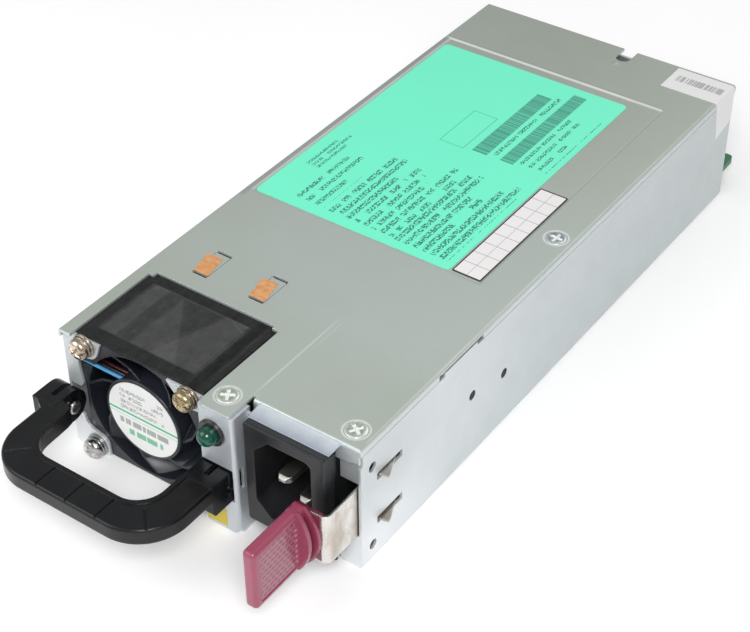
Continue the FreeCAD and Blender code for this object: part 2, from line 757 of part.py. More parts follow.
def make_fan_plug():
    """Plug of the fan leads on the board."""
    x0 = left + sheet + 1.0 - lead_r - 0.3
    x1 = x0 + 2 * (lead_r + 0.3) + (lead_count - 1) * lead_pitch
    body = box(x0, x1, plug_y, plug_y + 6.0, board_top, board_top + plug_h)
    ridge = box(x0 + 1.0, x1 - 1.0, plug_y + 1.0, plug_y + 5.0, board_top + plug_h - 0.1, board_top + plug_h + 0.6)
    return join([body, ridge])


def make_fan_screws():
    """Pan-head screws with washers that hold the fan to the ears."""
    screws = []
    for x, z in fan_corners():
        piece = screw(fan_head_r, fan_head_h, fan_screw_r, 5.5 + fan_washer_t)
        piece.translate(V(0, 0, fan_washer_t))
        piece = join([piece, rod(0, 0, 0, fan_washer_r, fan_washer_t, "z")])
        piece.rotate(V(0, 0, 0), AXES["x"], 90)
        piece.translate(V(x, wall_front, z))
        screws.append(piece)
    return screws


# ------------------------------------------------------------------ status light
def make_bezel():
    """Snap-in ring of the status light."""
    flange = rod(led_x, column_front - 0.9, led_z, bezel_r, 0.9, "y")
    flange = flange.makeFillet(0.4, [flange.Edges[2]])
    neck = rod(led_x, column_front - 0.2, led_z, bezel_r - 0.65, 4.6, "y")
    return join([flange, neck]).cut(rod(led_x, column_front - 3, led_z, led_r + 0.05, 9, "y"))


def make_lens():
    """Domed lens of the status light."""
    stem = rod(led_x, column_front - 1.9, led_z, led_r, 6.4, "y")
    dome = Part.makeSphere(led_r, V(led_x, column_front - 1.9, led_z))
    collar = rod(led_x, column_front + 3.4 + 1.1, led_z, led_r + 0.4, 0.8, "y")
    return join([stem, dome, collar])


# ------------------------------------------------------------------ inlet
def inlet_body_outline(gap):
    """Outline of the inlet behind the panel."""
    x0 = inlet_left + 1.4 - gap
    x1 = inlet_left + inlet_w - 2.0 + gap
    z0 = inlet_low + 2.0 - gap
    z1 = inlet_low + inlet_h - 2.4 + gap
    return [(x0, z0), (x1, z0), (x1, z1), (x0, z1)]


def socket_outline():
    """Mouth of the inlet: two bevelled corners and two round ones."""
    x0 = socket_x - socket_w / 2
    x1 = socket_x + socket_w / 2
    z0 = socket_z - socket_h / 2
    z1 = socket_z + socket_h / 2
    return [(x0, z0 + socket_bevel), (x0 + socket_bevel, z0), (x1, z0, 1.8), (x1, z1, 1.8),
            (x0 + socket_bevel, z1), (x0, z1 - socket_bevel)]


def make_inlet():
    """Appliance inlet housing with a deep shaped socket."""
    x1 = inlet_left + inlet_w
    z1 = inlet_low + inlet_h
    front = plate([(inlet_left, inlet_low, 1.0), (x1, inlet_low, 2.0), (x1, z1, 1.0), (inlet_left, z1, 1.0)],
                  "xz", 0, inlet_flange)
    rim = [e for e in front.Edges if abs(e.BoundBox.YMax) < 1e-6]
    front = front.makeFillet(0.5, rim)
    rear = inlet_flange + 0.1
    front = front.cut(plate([(0.6, z1), (rear, z1 - inlet_slope), (rear, z1 + 1), (0.6, z1 + 1)], "yz",
                            inlet_left - 1, x1 + 1))
    body = plate(inlet_body_outline(0), "xz", inlet_flange, socket_depth + socket_rear)
    socket = plate(socket_outline(), "xz", -1, socket_depth)
    return join([front, body]).cut([socket] + [blade_slot(*p) for p in blade_places()])


def blade_places():
    """Contact blades: x, z and the depth of the tip."""
    offset = 2.0
    rise = blade_pitch / 2
    return [(socket_x - offset, socket_z, 2.0), (socket_x + offset, socket_z + rise, 4.6),
            (socket_x + offset, socket_z - rise, 4.6)]


def blade_slot(x, z, tip):
    """Slot of the inlet's back wall for one blade."""
    half = blade_w / 2
    return box(x - half, x + half, tip + 1, socket_depth + socket_rear + 1, z - blade_t / 2, z + blade_t / 2)


def make_blades():
    """Three flat contact blades with bevelled tips and solder tails."""
    blades = []
    half = blade_w / 2
    for x, z, tip in blade_places():
        blade = box(x - half, x + half, tip, socket_depth + tail, z - blade_t / 2, z + blade_t / 2)
        tips = [e for e in blade.Edges if abs(e.BoundBox.YMax - tip) < 1e-6]
        blades.append(blade.makeChamfer(0.6, tips))
    return blades


# ------------------------------------------------------------------ handle
def handle_plan():
    """Plan of the bail: outer D shape, inner D shape and the cranked left arm."""
    inner_left = handle_left + left_bar_w
    inner_right = handle_right - bar_w
    front = handle_front + bar_front
    return [(handle_left - 0.1, -9.6), (handle_left, handle_front, 12.5), (handle_right, handle_front, 13.5),
            (handle_right, pivot_y), (inner_right, pivot_y), (inner_right, front, 7.5),
            (inner_left, front, 7.0), (inner_left - 0.6, -8.0), (handle_left + 6.6, -6.0),
            (left + 3.6, -5.0), (left + 3.6, pivot_y), (left - 3.7, pivot_y), (left - 3.7, -6.9)]


def grip_edges(bail):
    """Outer edges of the bail, top and bottom, that the hand meets."""
    chosen = []
    for edge in bail.Edges:
        middle = edge.valueAt((edge.FirstParameter + edge.LastParameter) / 2)
        level = min(abs(edge.BoundBox.ZMin - grip_top), abs(edge.BoundBox.ZMax - grip_top + grip_t))
        flat = edge.BoundBox.ZLength < 1e-6 and level < 1e-6
        outside = (middle.x < handle_left + left_bar_w / 2 + 0.2 or middle.x > handle_right - bar_w / 2
                   or middle.y < handle_front + bar_front / 2)
        if flat and outside and middle.y < -9.8:
            chosen.append(edge)
    return chosen


def grip_rim():
    """Low rim on the top face along the inner edge of the bail."""
    x0 = handle_left + left_bar_w
    x1 = handle_right - bar_w
    y0 = handle_front + bar_front
    outer = plate([(x0 - rim_w, y0 + 9.0), (x0 - rim_w, y0 - rim_w, 7.0 + rim_w), (x1 + rim_w, y0 - rim_w, 7.5 + rim_w),
                   (x1 + rim_w, -8.0), (x1 - 1, -8.0), (x1 - 1, y0 + 9.0)], "xy", grip_top - 1, grip_top + rim_h)
    inner = plate([(x0, y0 + 12.0), (x0, y0, 7.0), (x1, y0, 7.5), (x1, -6.0)], "xy", grip_top - 2, grip_top + 1)
    return outer.cut(inner)


def grip_grooves():
    """Shallow grooves across the top of the front bar and its two corners."""
    tools = []
    depth = 0.3
    low = grip_top - depth
    for i in range(3):
        x = handle_left + 18.1 + i * groove_pitch
        tools.append(box(x - groove_w / 2, x + groove_w / 2, handle_front - 1, handle_front + bar_front - rim_w, low, 30))
    for corner_x, turn, reach in ((handle_left + 12.5, 225, 12.5), (handle_right - 13.5, 315, 13.5)):
        groove = box(reach - bar_front + rim_w, reach + 1, -groove_w / 2, groove_w / 2, low, 30)
        groove.rotate(V(0, 0, 0), AXES["z"], turn)
        groove.translate(V(corner_x, handle_front + reach, 0))
        tools.append(groove)
    return tools


def fork_cheek(x0, x1):
    """One end block of the handle, round behind the pivot."""
    low = pivot_z - cheek_r
    high = pivot_z + cheek_r
    rear = pivot_y + cheek_r
    return plate([(-8.0, low, 1.0), (-8.0, high), (rear, high, cheek_r - 0.05), (rear, low, cheek_r - 0.05)],
                 "yz", x0, x1)


def make_handle():
    """Moulded bail with a fork at each end."""
    bail = plate(handle_plan(), "xy", grip_top - grip_t, grip_top)
    bail = bail.makeFillet(grip_round, grip_edges(bail)).cut(grip_grooves())
    forks = [fork_cheek(left - 3.7, left + 3.6), fork_cheek(handle_right - bar_w, handle_right)]
    whole = join([bail, grip_rim()] + forks)
    tools = []
    for ear_x in (left, arm_ear_x()):
        tools.append(box(ear_x - slot_gap, ear_x + sheet + slot_gap, pivot_y - ear_half - 0.4, 9, 0, 40))
        tools.append(rod(ear_x - 3.2, pivot_y, pivot_z, pin_r + 0.05, 9, "x"))
    return whole.cut(tools)


def make_pivot_pins():
    """Steel pins fixed in the two ears."""
    outer_pin = rod(left - 2.9, pivot_y, pivot_z, pin_r, 6.8, "x")
    head = rod(left + 3.85, pivot_y, pivot_z, 1.9, 0.8, "x")
    head = head.makeFillet(0.5, [head.Edges[0]])
    inner_pin = rod(arm_ear_x() - 2.9, pivot_y, pivot_z, pin_r, 6.6, "x")
    return [join([outer_pin, head]), inner_pin]


# ------------------------------------------------------------------ latch
def tooth(low):
    """Saw tooth folded out of the strip, steep towards the front."""
    tip = right + tooth_reach
    return plate([(strip_in, tooth_y), (strip_out, tooth_y), (tip, tooth_y + 0.8), (tip - 0.2, tooth_y + 1.7),
                  (right - 0.3, tooth_y + tooth_l), (strip_in, tooth_y + tooth_l)], "xy", low, low + strip_t)


def make_latch_arm():
    """Moving part of the spring strip with its two teeth and the turned front end."""
    rear = hinge_y - seam
    path = [(strip_out, rear), (strip_out, strip_front, strip_bend), (strip_end, strip_front),
            (strip_end, strip_front + strip_t), (strip_in, strip_front + strip_t, strip_bend - strip_t),
            (strip_in, rear)]
    strip = plate(path, "xy", strip_low, strip_high)
    waist = (hinge_y - 26.0, hinge_y - 5.0)
    relief = [box(strip_in - 1, right, *waist, strip_low - 1, strip_low + 1.6),
              box(strip_in - 1, right, *waist, strip_high - 1.6, strip_high + 1)]
    return join([strip.cut(relief), tooth(strip_low), tooth(strip_high - strip_t)])


def make_latch_base():
    """Riveted end of the spring strip."""
    front = hinge_y + seam
    rear = hinge_y + base_l
    base = plate([(front, strip_low + 1.6), (rear, strip_low + 1.6, 2.0), (rear, strip_high - 1.6, 2.0),
                  (front, strip_high - 1.6)], "yz", strip_in, strip_out)
    return base.cut([rod(strip_in - 1, y, z, rivet_r, 3, "x") for y, z in rivet_places])


def make_rivets():
    """Two rivets with a spacer washer between strip and wall."""
    rivets = []
    for y, z in rivet_places:
        head = rod(strip_in - 1.0, y, z, 2.3, 1.0, "x")
        shank = rod(strip_in - 0.1, y, z, rivet_r, right - strip_in + 0.1, "x")
        washer = rod(strip_out, y, z, 2.4, right - sheet - strip_out, "x")
        rivets.append(join([head, shank, washer]))
    return rivets


def lever_fin(front, reach):
    """Curved finger stop on the open side of the lever."""
    x0 = lever_x + 0.5
    x1 = lever_x + lever_t
    middle = (lever_low + lever_high) / 2
    low = V(x1, front, lever_low)
    high = V(x1, front, lever_high)
    arc = Part.Arc(low, V(x1 + reach, front, middle), high)
    rest = [V(x0, front, lever_high), V(x0, front, lever_low)]
    edges = [arc.toShape(), Part.LineSegment(high, rest[0]).toShape(), Part.LineSegment(rest[0], rest[1]).toShape(),
             Part.LineSegment(rest[1], low).toShape()]
    return Part.Face(Part.Wire(edges)).extrude(V(0, fin_t, 0))


def make_lever():
    """Moulded lever: clamp on the strip, two finger stops and a long flat paddle with sunk faces."""
    front = strip_front - lever_l
    x0 = lever_x
    x1 = lever_x + lever_t
    paddle = plate([(strip_front, lever_low), (front, lever_low, 1.3), (front, lever_high, 1.3),
                    (strip_front, lever_high)], "yz", x0, x1)
    sides = [e for e in paddle.Edges if e.BoundBox.XLength < 1e-6 and e.BoundBox.YMin < strip_front - 0.1]
    paddle = paddle.makeFillet(lever_round, sides)
    field = rect(front + 1.9, strip_front - 4.4, lever_low + 1.5, lever_high - 1.5, 0.6)
    sinks = [plate(field, "yz", x1 - 0.2, x1 + 1), plate(field, "yz", x0 - 1, x0 + 0.2)]
    clamp = box(x0, strip_out - strip_bend - 0.05, strip_front - 0.1, strip_front + strip_t + 1.0,
                strip_low + 0.6, strip_high - 0.4)
    outer_fin = lever_fin(strip_front - 2 * fin_t - fin_gap, fin_reach)
    inner_fin = lever_fin(strip_front - fin_t, fin_reach + 1.0)
    seat = box(strip_end - 0.05, right, strip_front, strip_front + strip_t, strip_low - 0.05, strip_high + 0.05)
    return join([paddle.cut(sinks), clamp, outer_fin, inner_fin]).cut(seat)


# ------------------------------------------------------------------ inside
def make_board():
    """Main board with the card-edge tongue through the rear wall."""
    step_x = bay_right + 1.0
    board = plate([(board_left, board_front + 3), (step_x, board_front + 3), (step_x, board_front - 8),
                   (board_right, board_front - 8), (board_right, tongue_end, 1.5), (tongue_left, tongue_end, 1.5),
                   (tongue_left, body_d - 3.0), (board_left, body_d - 3.0)], "xy", board_low, board_top)
    holes = [rod(x, y, board_low - 1, 1.6, board_t + 2, "z") for x, y in standoff_places()]
    return board.cut(holes)


def standoff_places():
    """Where the board is screwed down."""
    left_row = board_left + 3.8
    right_row = board_right - 6.3
    return [(left_row, board_front + 7.0), (right_row, board_front + 23.0), (left_row, sink_y0 + 24.0),
            (right_row, sink_y0 + 24.0), (left_row, body_d - 9.5), (right_row, body_d - 9.5)]


def make_standoffs():
    """Six-sided threaded posts on the base."""
    posts = []
    corners = [(post_r * math.cos(math.radians(60 * i)), post_r * math.sin(math.radians(60 * i))) for i in range(6)]
    for x, y in standoff_places():
        post = plate([(x + a, y + b) for a, b in corners], "xy", sheet, board_low)
        posts.append(post.cut(rod(x, y, sheet + 1, 1.25, board_low, "z")))
    return posts


def make_board_screws():
    """Screws of the board."""
    screws = []
    for x, y in standoff_places():
        piece = screw(2.7, 1.8, 1.2, board_low - sheet)
        piece.translate(V(x, y, board_top))
        screws.append(piece)
    return screws


def make_contacts():
    """Gold fingers on both faces of the tongue."""
    fingers = []
    count = int((board_right - tongue_left - 2 * finger_pitch) / finger_pitch) + 1
    for i in range(count):
        x = tongue_left + 3.0 + i * finger_pitch
        for z in (board_top, board_low - plating):
            fingers.append(box(x, x + finger_w, tongue_end - 1.0 - finger_l, tongue_end - 1.0, z, z + plating))
    return fingers


def make_choke():
    """Ring core on its side between two clamps of the winding."""
    x = inlet_left + 8.5
    y = board_front + 9.0
    z = board_top + 12.2
    ring = [(5.0, -2.6), (6.2, -3.6), (11.0, -3.6), (12.2, -2.6), (12.2, 2.6), (11.0, 3.6), (6.2, 3.6), (5.0, 2.6)]
    spots = [V(x + r, y + a, z) for r, a in ring]
    return Part.Face(Part.makePolygon(spots + [spots[0]])).revolve(V(x, y, z), AXES["y"], 360)


def make_filter_caps():
    """Box capacitors of the line filter."""
    caps = []
    y0 = board_front + 19.0
    for x in (inlet_left - 5.5, inlet_left + 4.5):
        cap = box(x, x + 7.0, y0, y0 + 18.0, board_top, board_top + 15.0)
        caps.append(cap.makeChamfer(0.6, [e for e in cap.Edges if e.BoundBox.ZMin > board_top + 14.0]))
    return caps


def make_bulk_caps():
    """Two large capacitors lying along the housing, each with a crimped groove."""
    cans = []
    z = board_top + bulk_r + 0.1
    for x in (bulk_x, bulk_x + bulk_pitch):
        can = rod(x, bulk_y, z, bulk_r, bulk_l, "y")
        can = can.makeChamfer(0.8, [can.Edges[0], can.Edges[2]])
        groove = rod(x, bulk_y + 3.0, z, bulk_r + 1, 1.2, "y").cut(rod(x, bulk_y, z, bulk_r - 0.6, bulk_l, "y"))
        cans.append(can.cut(groove))
    return cans


def make_heatsink():
    """Finned aluminium plate with its fins on the left."""
    parts = [box(sink_x, sink_x + 2.0, sink_y0, sink_y1, board_top, sink_top)]
    for i in range(int((sink_y1 - sink_y0 - 1.0) / fin_pitch) + 1):
        y = sink_y0 + i * fin_pitch
        parts.append(box(sink_x - 7.0, sink_x + 0.1, y, y + 1.0, board_top + 6.0, sink_top))
    return join(parts)


def make_switches():
    """Power package on the flat side of the heatsink, with its legs in the board."""
    x0 = sink_x + 2.0
    y0 = sink_y0 + 2.0
    package = box(x0, x0 + 4.6, y0, y0 + 15.0, board_top + 3.0, board_top + 22.0)
    package = package.makeChamfer(0.8, [e for e in package.Edges if e.BoundBox.XMin > x0 + 4.0])
    legs = [box(x0 + 1.8, x0 + 2.6, y0 + 2.4 + i * 4.6, y0 + 3.4 + i * 4.6, board_top, board_top + 3.1)
            for i in range(3)]
    return join([package] + legs)


def make_transformer():
    """Ferrite core of the main transformer with its winding window."""
    low = board_top + 1.0
    core = box(core_x, core_x + core_w, core_y, core_y + core_l, low, low + core_h)
    side = (core_w - window_w) / 2
    window = box(core_x + side, core_x + side + window_w, core_y - 1, core_y + core_l + 1,
                 low + (core_h - window_h) / 2, low + (core_h + window_h) / 2)
    return core.cut(window)


def make_winding():
    """Taped winding of the transformer."""
    x0 = core_x + (core_w - window_w) / 2
    z0 = board_top + 1.0 + (core_h - window_h) / 2
    return plate(rect(x0, x0 + window_w, z0, z0 + window_h, 2.0), "xz", core_y - 5.0, core_y + core_l + 5.0)


def make_output_caps():
    """Row of small upright capacitors at the output."""
    cans = []
    for i in range(6):
        can = rod(tongue_left + 2.0 + i * 8.6, out_cap_y, board_top, out_cap_r, out_cap_h, "z")
        cans.append(can.makeChamfer(0.5, [can.Edges[0]]))
    return cans


def make_output_choke():
    """Square output choke."""
    x0 = tongue_left - 2.0
    block = box(x0, x0 + choke_w, choke_y, choke_y + choke_w, board_top, board_top + choke_h)
    return block.makeChamfer(1.0, [e for e in block.Edges if e.BoundBox.ZMin > board_top + choke_h - 1])


def make_control_board():
    """Upright control board with its chips on one side."""
    card = box(card_x, card_x + card_t, card_y0, card_y1, board_top, card_top)
    chips = []
    for i in range(3):
        y = card_y0 + 4.0 + i * 15.0
        chips.append(box(card_x - 1.2, card_x + 0.1, y, y + 9.0, board_top + 7.0, board_top + 16.0))
    return join([card] + chips)


def make_insulator():
    """Insulating sheet on the base under the board."""
    edge = sheet + 0.4
    film_sheet = box(left + edge, right - edge, bay_rear + 2.0, body_d - 3.0, sheet, sheet + 0.4)
    return film_sheet.cut([rod(x, y, 0, post_r + 0.4, 5, "z") for x, y in standoff_places()])


def make_inlet_leads():
    """Three stiff leads from the inlet's tails to the board."""
    leads = []
    start_y = socket_depth + tail
    targets = [(inlet_left + 6.5, start_y + 7.5), (inlet_left + 17.0, start_y + 7.5), (inlet_left + 11.5, start_y + 4.8)]
    for (x, z, _), (tx, ty) in zip(blade_places(), targets):
        points = [V(x, start_y, z), V(x, ty - 2.0, z), V(tx, ty, max(board_top + 6.0, z - 8.0)), V(tx, ty, board_top)]
        leads.append(wire_run(points, 1.1, 1.6))
    return leads


def build():
    """Every piece under its name."""
    pieces = {
        "chassis_tray": make_tray(),
        "top_cover": make_cover(),
        "front_bracket": make_front_bracket(),
        "fan_bracket": make_fan_bracket(),
        "rear_panel": make_rear_panel(),
        "fan_film": make_film(),
        "strap_tapes": Part.makeCompound(make_tapes()),
        "rating_label": make_rating_label(),
        "table_label": make_table_label(),
        "corner_label": make_corner_label(),
        "cover_screws": Part.makeCompound(make_cover_screws()),
        "fan_frame": make_fan_frame(),
        "fan_impeller": make_impeller(),
        "fan_shaft": make_shaft(),
        "fan_bearings": Part.makeCompound(make_bearings()),
        "fan_stator": make_stator(),
        "fan_label": make_fan_label(),
        "fan_leads": Part.makeCompound(make_fan_leads()),
        "fan_plug": make_fan_plug(),
        "fan_screws": Part.makeCompound(make_fan_screws()),
        "led_bezel": make_bezel(),
        "led_lens": make_lens(),
        "column_patch": box(column_left + 0.8, column_left + 0.8 + patch_w, column_front - paper, column_front,
                            1.2, 1.2 + patch_h),
        "inlet_housing": make_inlet(),
        "inlet_blades": Part.makeCompound(make_blades()),
        "inlet_leads": Part.makeCompound(make_inlet_leads()),
        "handle": make_handle(),
        "handle_pins": Part.makeCompound(make_pivot_pins()),
        "latch_arm": make_latch_arm(),
        "latch_base": make_latch_base(),
        "latch_rivets": Part.makeCompound(make_rivets()),
        "latch_lever": make_lever(),
        "main_board": make_board(),
        "edge_contacts": Part.makeCompound(make_contacts()),
        "board_standoffs": Part.makeCompound(make_standoffs()),
        "board_screws": Part.makeCompound(make_board_screws()),
        "base_insulator": make_insulator(),
        "filter_choke": make_choke(),
        "filter_capacitors": Part.makeCompound(make_filter_caps()),
        "bulk_capacitors": Part.makeCompound(make_bulk_caps()),
        "switch_heatsink": make_heatsink(),
        "switch_packages": make_switches(),
        "transformer_core": make_transformer(),
        "transformer_winding": make_winding(),
        "output_choke": make_output_choke(),
        "output_capacitors": Part.makeCompound(make_output_caps()),
        "control_board": make_control_board(),
    }
    return pieces


os.makedirs("parts", exist_ok=True)
for piece_name, piece_shape in build().items():
    save(piece_name, piece_shape)
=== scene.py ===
import math
from functools import partialmethod

import bpy
import numpy as np
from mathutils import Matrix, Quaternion, Vector


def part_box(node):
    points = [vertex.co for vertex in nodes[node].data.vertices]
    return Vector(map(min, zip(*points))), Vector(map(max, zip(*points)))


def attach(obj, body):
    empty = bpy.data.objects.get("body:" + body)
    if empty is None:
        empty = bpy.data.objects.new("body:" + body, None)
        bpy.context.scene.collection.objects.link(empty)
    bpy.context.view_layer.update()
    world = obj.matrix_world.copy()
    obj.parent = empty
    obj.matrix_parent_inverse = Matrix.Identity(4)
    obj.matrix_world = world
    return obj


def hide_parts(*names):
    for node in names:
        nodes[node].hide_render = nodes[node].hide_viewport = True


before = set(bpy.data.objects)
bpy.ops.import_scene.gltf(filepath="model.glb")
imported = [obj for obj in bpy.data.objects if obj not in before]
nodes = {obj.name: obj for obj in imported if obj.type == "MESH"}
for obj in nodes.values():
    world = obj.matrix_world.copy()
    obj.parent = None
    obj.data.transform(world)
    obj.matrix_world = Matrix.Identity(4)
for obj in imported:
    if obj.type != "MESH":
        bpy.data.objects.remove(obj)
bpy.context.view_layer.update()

# Key places of the supply, in metres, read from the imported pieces.
mm = 0.001
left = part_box("top_cover")[0][0]
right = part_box("top_cover")[1][0]
fan_lo, fan_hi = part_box("fan_frame")
fan_x = (fan_lo[0] + fan_hi[0]) / 2
fan_z = (fan_lo[2] + fan_hi[2]) / 2


# ------------------------------------------------------------------ material tools
class Finish:
    """A material under construction: short calls that add one node each."""

    def __init__(self, name, color, rough, metal=0.0):
        self.mat = bpy.data.materials.new(name)
        self.mat.use_nodes = True
        self.tree = self.mat.node_tree
        self.shader = self.tree.nodes["Principled BSDF"]
        self.put("Base Color", (*color, 1))
        self.put("Roughness", rough)
        self.put("Metallic", metal)
        self.where = self.add("ShaderNodeTexCoord").outputs["Object"]

    def add(self, kind, **values):
        """A new node with its settings."""
        node = self.tree.nodes.new(kind)
        for key, value in values.items():
            setattr(node, key, value)
        return node

    def put(self, socket, value):
        """Sets a plain value, or links the output of another node."""
        target = self.shader.inputs[socket]
        if isinstance(value, bpy.types.NodeSocket):
            self.tree.links.new(value, target)
        else:
            target.default_value = value

    def wire(self, node, socket, value):
        """Sets or links one input of a node."""
        if isinstance(value, bpy.types.NodeSocket):
            self.tree.links.new(value, node.inputs[socket])
        else:
            node.inputs[socket].default_value = value

    def placed(self, stretch=(1, 1, 1), turn=(0, 0, 0), move=(0, 0, 0)):
        """Object coordinates, scaled, turned and moved."""
        node = self.add("ShaderNodeMapping")
        self.wire(node, "Vector", self.where)
        self.wire(node, "Scale", stretch)
        self.wire(node, "Rotation", turn)
        self.wire(node, "Location", move)
        return node.outputs["Vector"]

    def noise(self, scale, detail=3, rough=0.5, at=None, warp=0.0):
        """Cloudy value about 0.5, with scale clouds to the metre."""
        node = self.add("ShaderNodeTexNoise")
        self.wire(node, "Vector", at or self.where)
        self.wire(node, "Scale", scale)
        self.wire(node, "Detail", detail)
        self.wire(node, "Roughness", rough)
        self.wire(node, "Distortion", warp)
        return node.outputs["Fac"]

    def blend(self, fac, first, second):
        """Colour that goes from the first to the second as fac goes from 0 to 1."""
        node = self.add("ShaderNodeMix", data_type="RGBA")
        self.wire(node, "Factor", fac)
        # Inputs 6 and 7 and output 2 are the node's colour sockets.
        for socket, value in ((node.inputs[6], first), (node.inputs[7], second)):
            if isinstance(value, bpy.types.NodeSocket):
                self.tree.links.new(value, socket)
            else:
                socket.default_value = (*value, 1)
        return node.outputs[2]

    def span(self, value, low, high, to_low=0.0, to_high=1.0):
        """A value stretched from one range to another and held inside it."""
        node = self.add("ShaderNodeMapRange")
        self.wire(node, "Value", value)
        self.wire(node, "From Min", low)
        self.wire(node, "From Max", high)
        self.wire(node, "To Min", to_low)
        self.wire(node, "To Max", to_high)
        return node.outputs["Result"]

    def reckon(self, kind, a, b=0.0):
        """One sum, product, test or the like of two values."""
        node = self.add("ShaderNodeMath", operation=kind)
        self.wire(node, 0, a)
        self.wire(node, 1, b)
        return node.outputs[0]

    times = partialmethod(reckon, "MULTIPLY")
    plus = partialmethod(reckon, "ADD")
    minus = partialmethod(reckon, "SUBTRACT")
    over = partialmethod(reckon, "DIVIDE")
    most = partialmethod(reckon, "MAXIMUM")
    below = partialmethod(reckon, "LESS_THAN")
    above = partialmethod(reckon, "GREATER_THAN")
    fract = partialmethod(reckon, "FRACT")
    floor = partialmethod(reckon, "FLOOR")
    size = partialmethod(reckon, "ABSOLUTE")
    root = partialmethod(reckon, "SQRT")
    power = partialmethod(reckon, "POWER")
    modulo = partialmethod(reckon, "MODULO")

    def facing(self, name):
        """One part of the surface's own direction."""
        node = self.add("ShaderNodeSeparateXYZ")
        self.wire(node, "Vector", self.add("ShaderNodeTexCoord").outputs["Normal"])
        return node.outputs[name]

    def axis(self, name):
        """One object coordinate."""
        node = self.add("ShaderNodeSeparateXYZ")
        self.wire(node, "Vector", self.where)
        return node.outputs[name]

    def band(self, name, low, high, soft=0.0001):
        """1 between two planes across an axis, 0 outside, with a soft edge."""
        at = self.axis(name)
        up = self.span(at, low - soft, low + soft)
        down = self.span(at, high - soft, high + soft, 1.0, 0.0)
        return self.times(up, down)

    def field(self, x0, x1, y0, y1, names="XY", soft=0.0001):
        """1 inside a rectangle of two axes."""
        return self.times(self.band(names[0], x0, x1, soft), self.band(names[1], y0, y1, soft))

    def spot(self, x, y, z=0.0):
        """A place for a noise, from three values."""
        node = self.add("ShaderNodeCombineXYZ")
        self.wire(node, "X", x)
        self.wire(node, "Y", y)
        self.wire(node, "Z", z)
        return node.outputs["Vector"]

    def stripes(self, along, across, row, pitch, fill=0.55, beat=900.0, cut=0.5, seed=0.0):
        """Rows of plain dashes: 1 where a row's band and its run of dashes meet, with no letters."""
        turn = self.over(self.minus(across, row), pitch)
        line = self.floor(turn)
        inside = self.below(self.fract(turn), fill)
        run = self.noise(1.0, 1, 0.5, at=self.spot(self.times(along, beat), self.times(line, 7.31), seed))
        return self.times(inside, self.span(run, cut - 0.02, cut + 0.02))

    def crumbs(self, along, across, row, pitch, height, seed, gap=0.42, start=0.0, ragged=0.0):
        """Rows of small broken strokes in runs, like type seen from far off, with no letter in them."""
        turn = self.over(self.minus(across, row), pitch)
        line = self.floor(turn)
        inside = self.below(self.fract(turn), height)
        words = self.spot(self.times(along, 260.0), self.times(line, 5.17), seed)
        word = self.span(self.noise(1.0, 0, 0.5, at=words), gap - 0.01, gap + 0.01)
        strokes = self.spot(self.times(along, 1500.0), self.times(turn, 3.1 / height), seed + 4.0)
        stroke = self.span(self.noise(1.0, 0, 0.5, at=strokes), 0.44, 0.52)
        run = self.times(self.times(inside, word), stroke)
        if ragged:
            ends = self.noise(1.0, 0, 0.5, at=self.spot(self.times(line, 3.77), seed))
            run = self.times(run, self.below(along, self.span(ends, 0.3, 0.7, start, start + ragged)))
        return run

    def disc(self, a, b, names="XY"):
        """Distance from a line that stands on the plane of two axes."""
        across = self.power(self.minus(self.axis(names[0]), a), 2.0)
        along = self.power(self.minus(self.axis(names[1]), b), 2.0)
        return self.root(self.plus(across, along))

    def relief(self, height, strength, depth=0.0002, edge=0.0):
        """Bump from a height, over softly rounded edges where asked."""
        node = self.add("ShaderNodeBump")
        self.wire(node, "Strength", strength)
        self.wire(node, "Distance", depth)
        self.wire(node, "Height", height)
        if edge:
            soft = self.add("ShaderNodeBevel", samples=4)
            self.wire(soft, "Radius", edge)
            self.wire(node, "Normal", soft.outputs["Normal"])
        self.put("Normal", node.outputs["Normal"])


# ------------------------------------------------------------------ finishes
def zinc_sheet(name, low, high, marks=None):
    """Zinc-plated sheet: cloudy satin plate with fine grain, dull patches and light handling marks."""
    f = Finish(name, low, 0.42, 0.55)
    drift = f.span(f.noise(14, 2, 0.4), 0.35, 0.65)
    cloud = f.span(f.noise(120, 4, 0.6, warp=0.4), 0.3, 0.7)
    grain = f.noise(2600, 2, 0.7)
    tone = f.blend(f.times(drift, 0.8), low, high)
    tone = f.blend(f.span(cloud, 0, 1, 0.0, 0.16), tone, tuple(0.78 * c for c in high))
    tone = f.blend(f.span(grain, 0.35, 0.65, 0.0, 0.10), tone, tuple(min(1, 1.35 * c) for c in high))
    scuff_at = f.placed(stretch=(60, 900, 60), turn=(0, 0, 0.5))
    scuffs = f.span(f.noise(1.0, 3, 0.6, at=scuff_at), 0.66, 0.74, 0.0, 0.12)
    tone = f.blend(scuffs, tone, tuple(min(1, 1.5 * c) for c in high))
    height = f.plus(f.times(grain, 0.35), f.times(cloud, 0.5))
    if marks:
        tone, height = marks(f, tone, height)
    f.put("Base Color", tone)
    f.put("Roughness", f.span(cloud, 0, 1, 0.36, 0.48))
    f.relief(height, 0.10, 0.00012, edge=0.00025)
    return f.mat


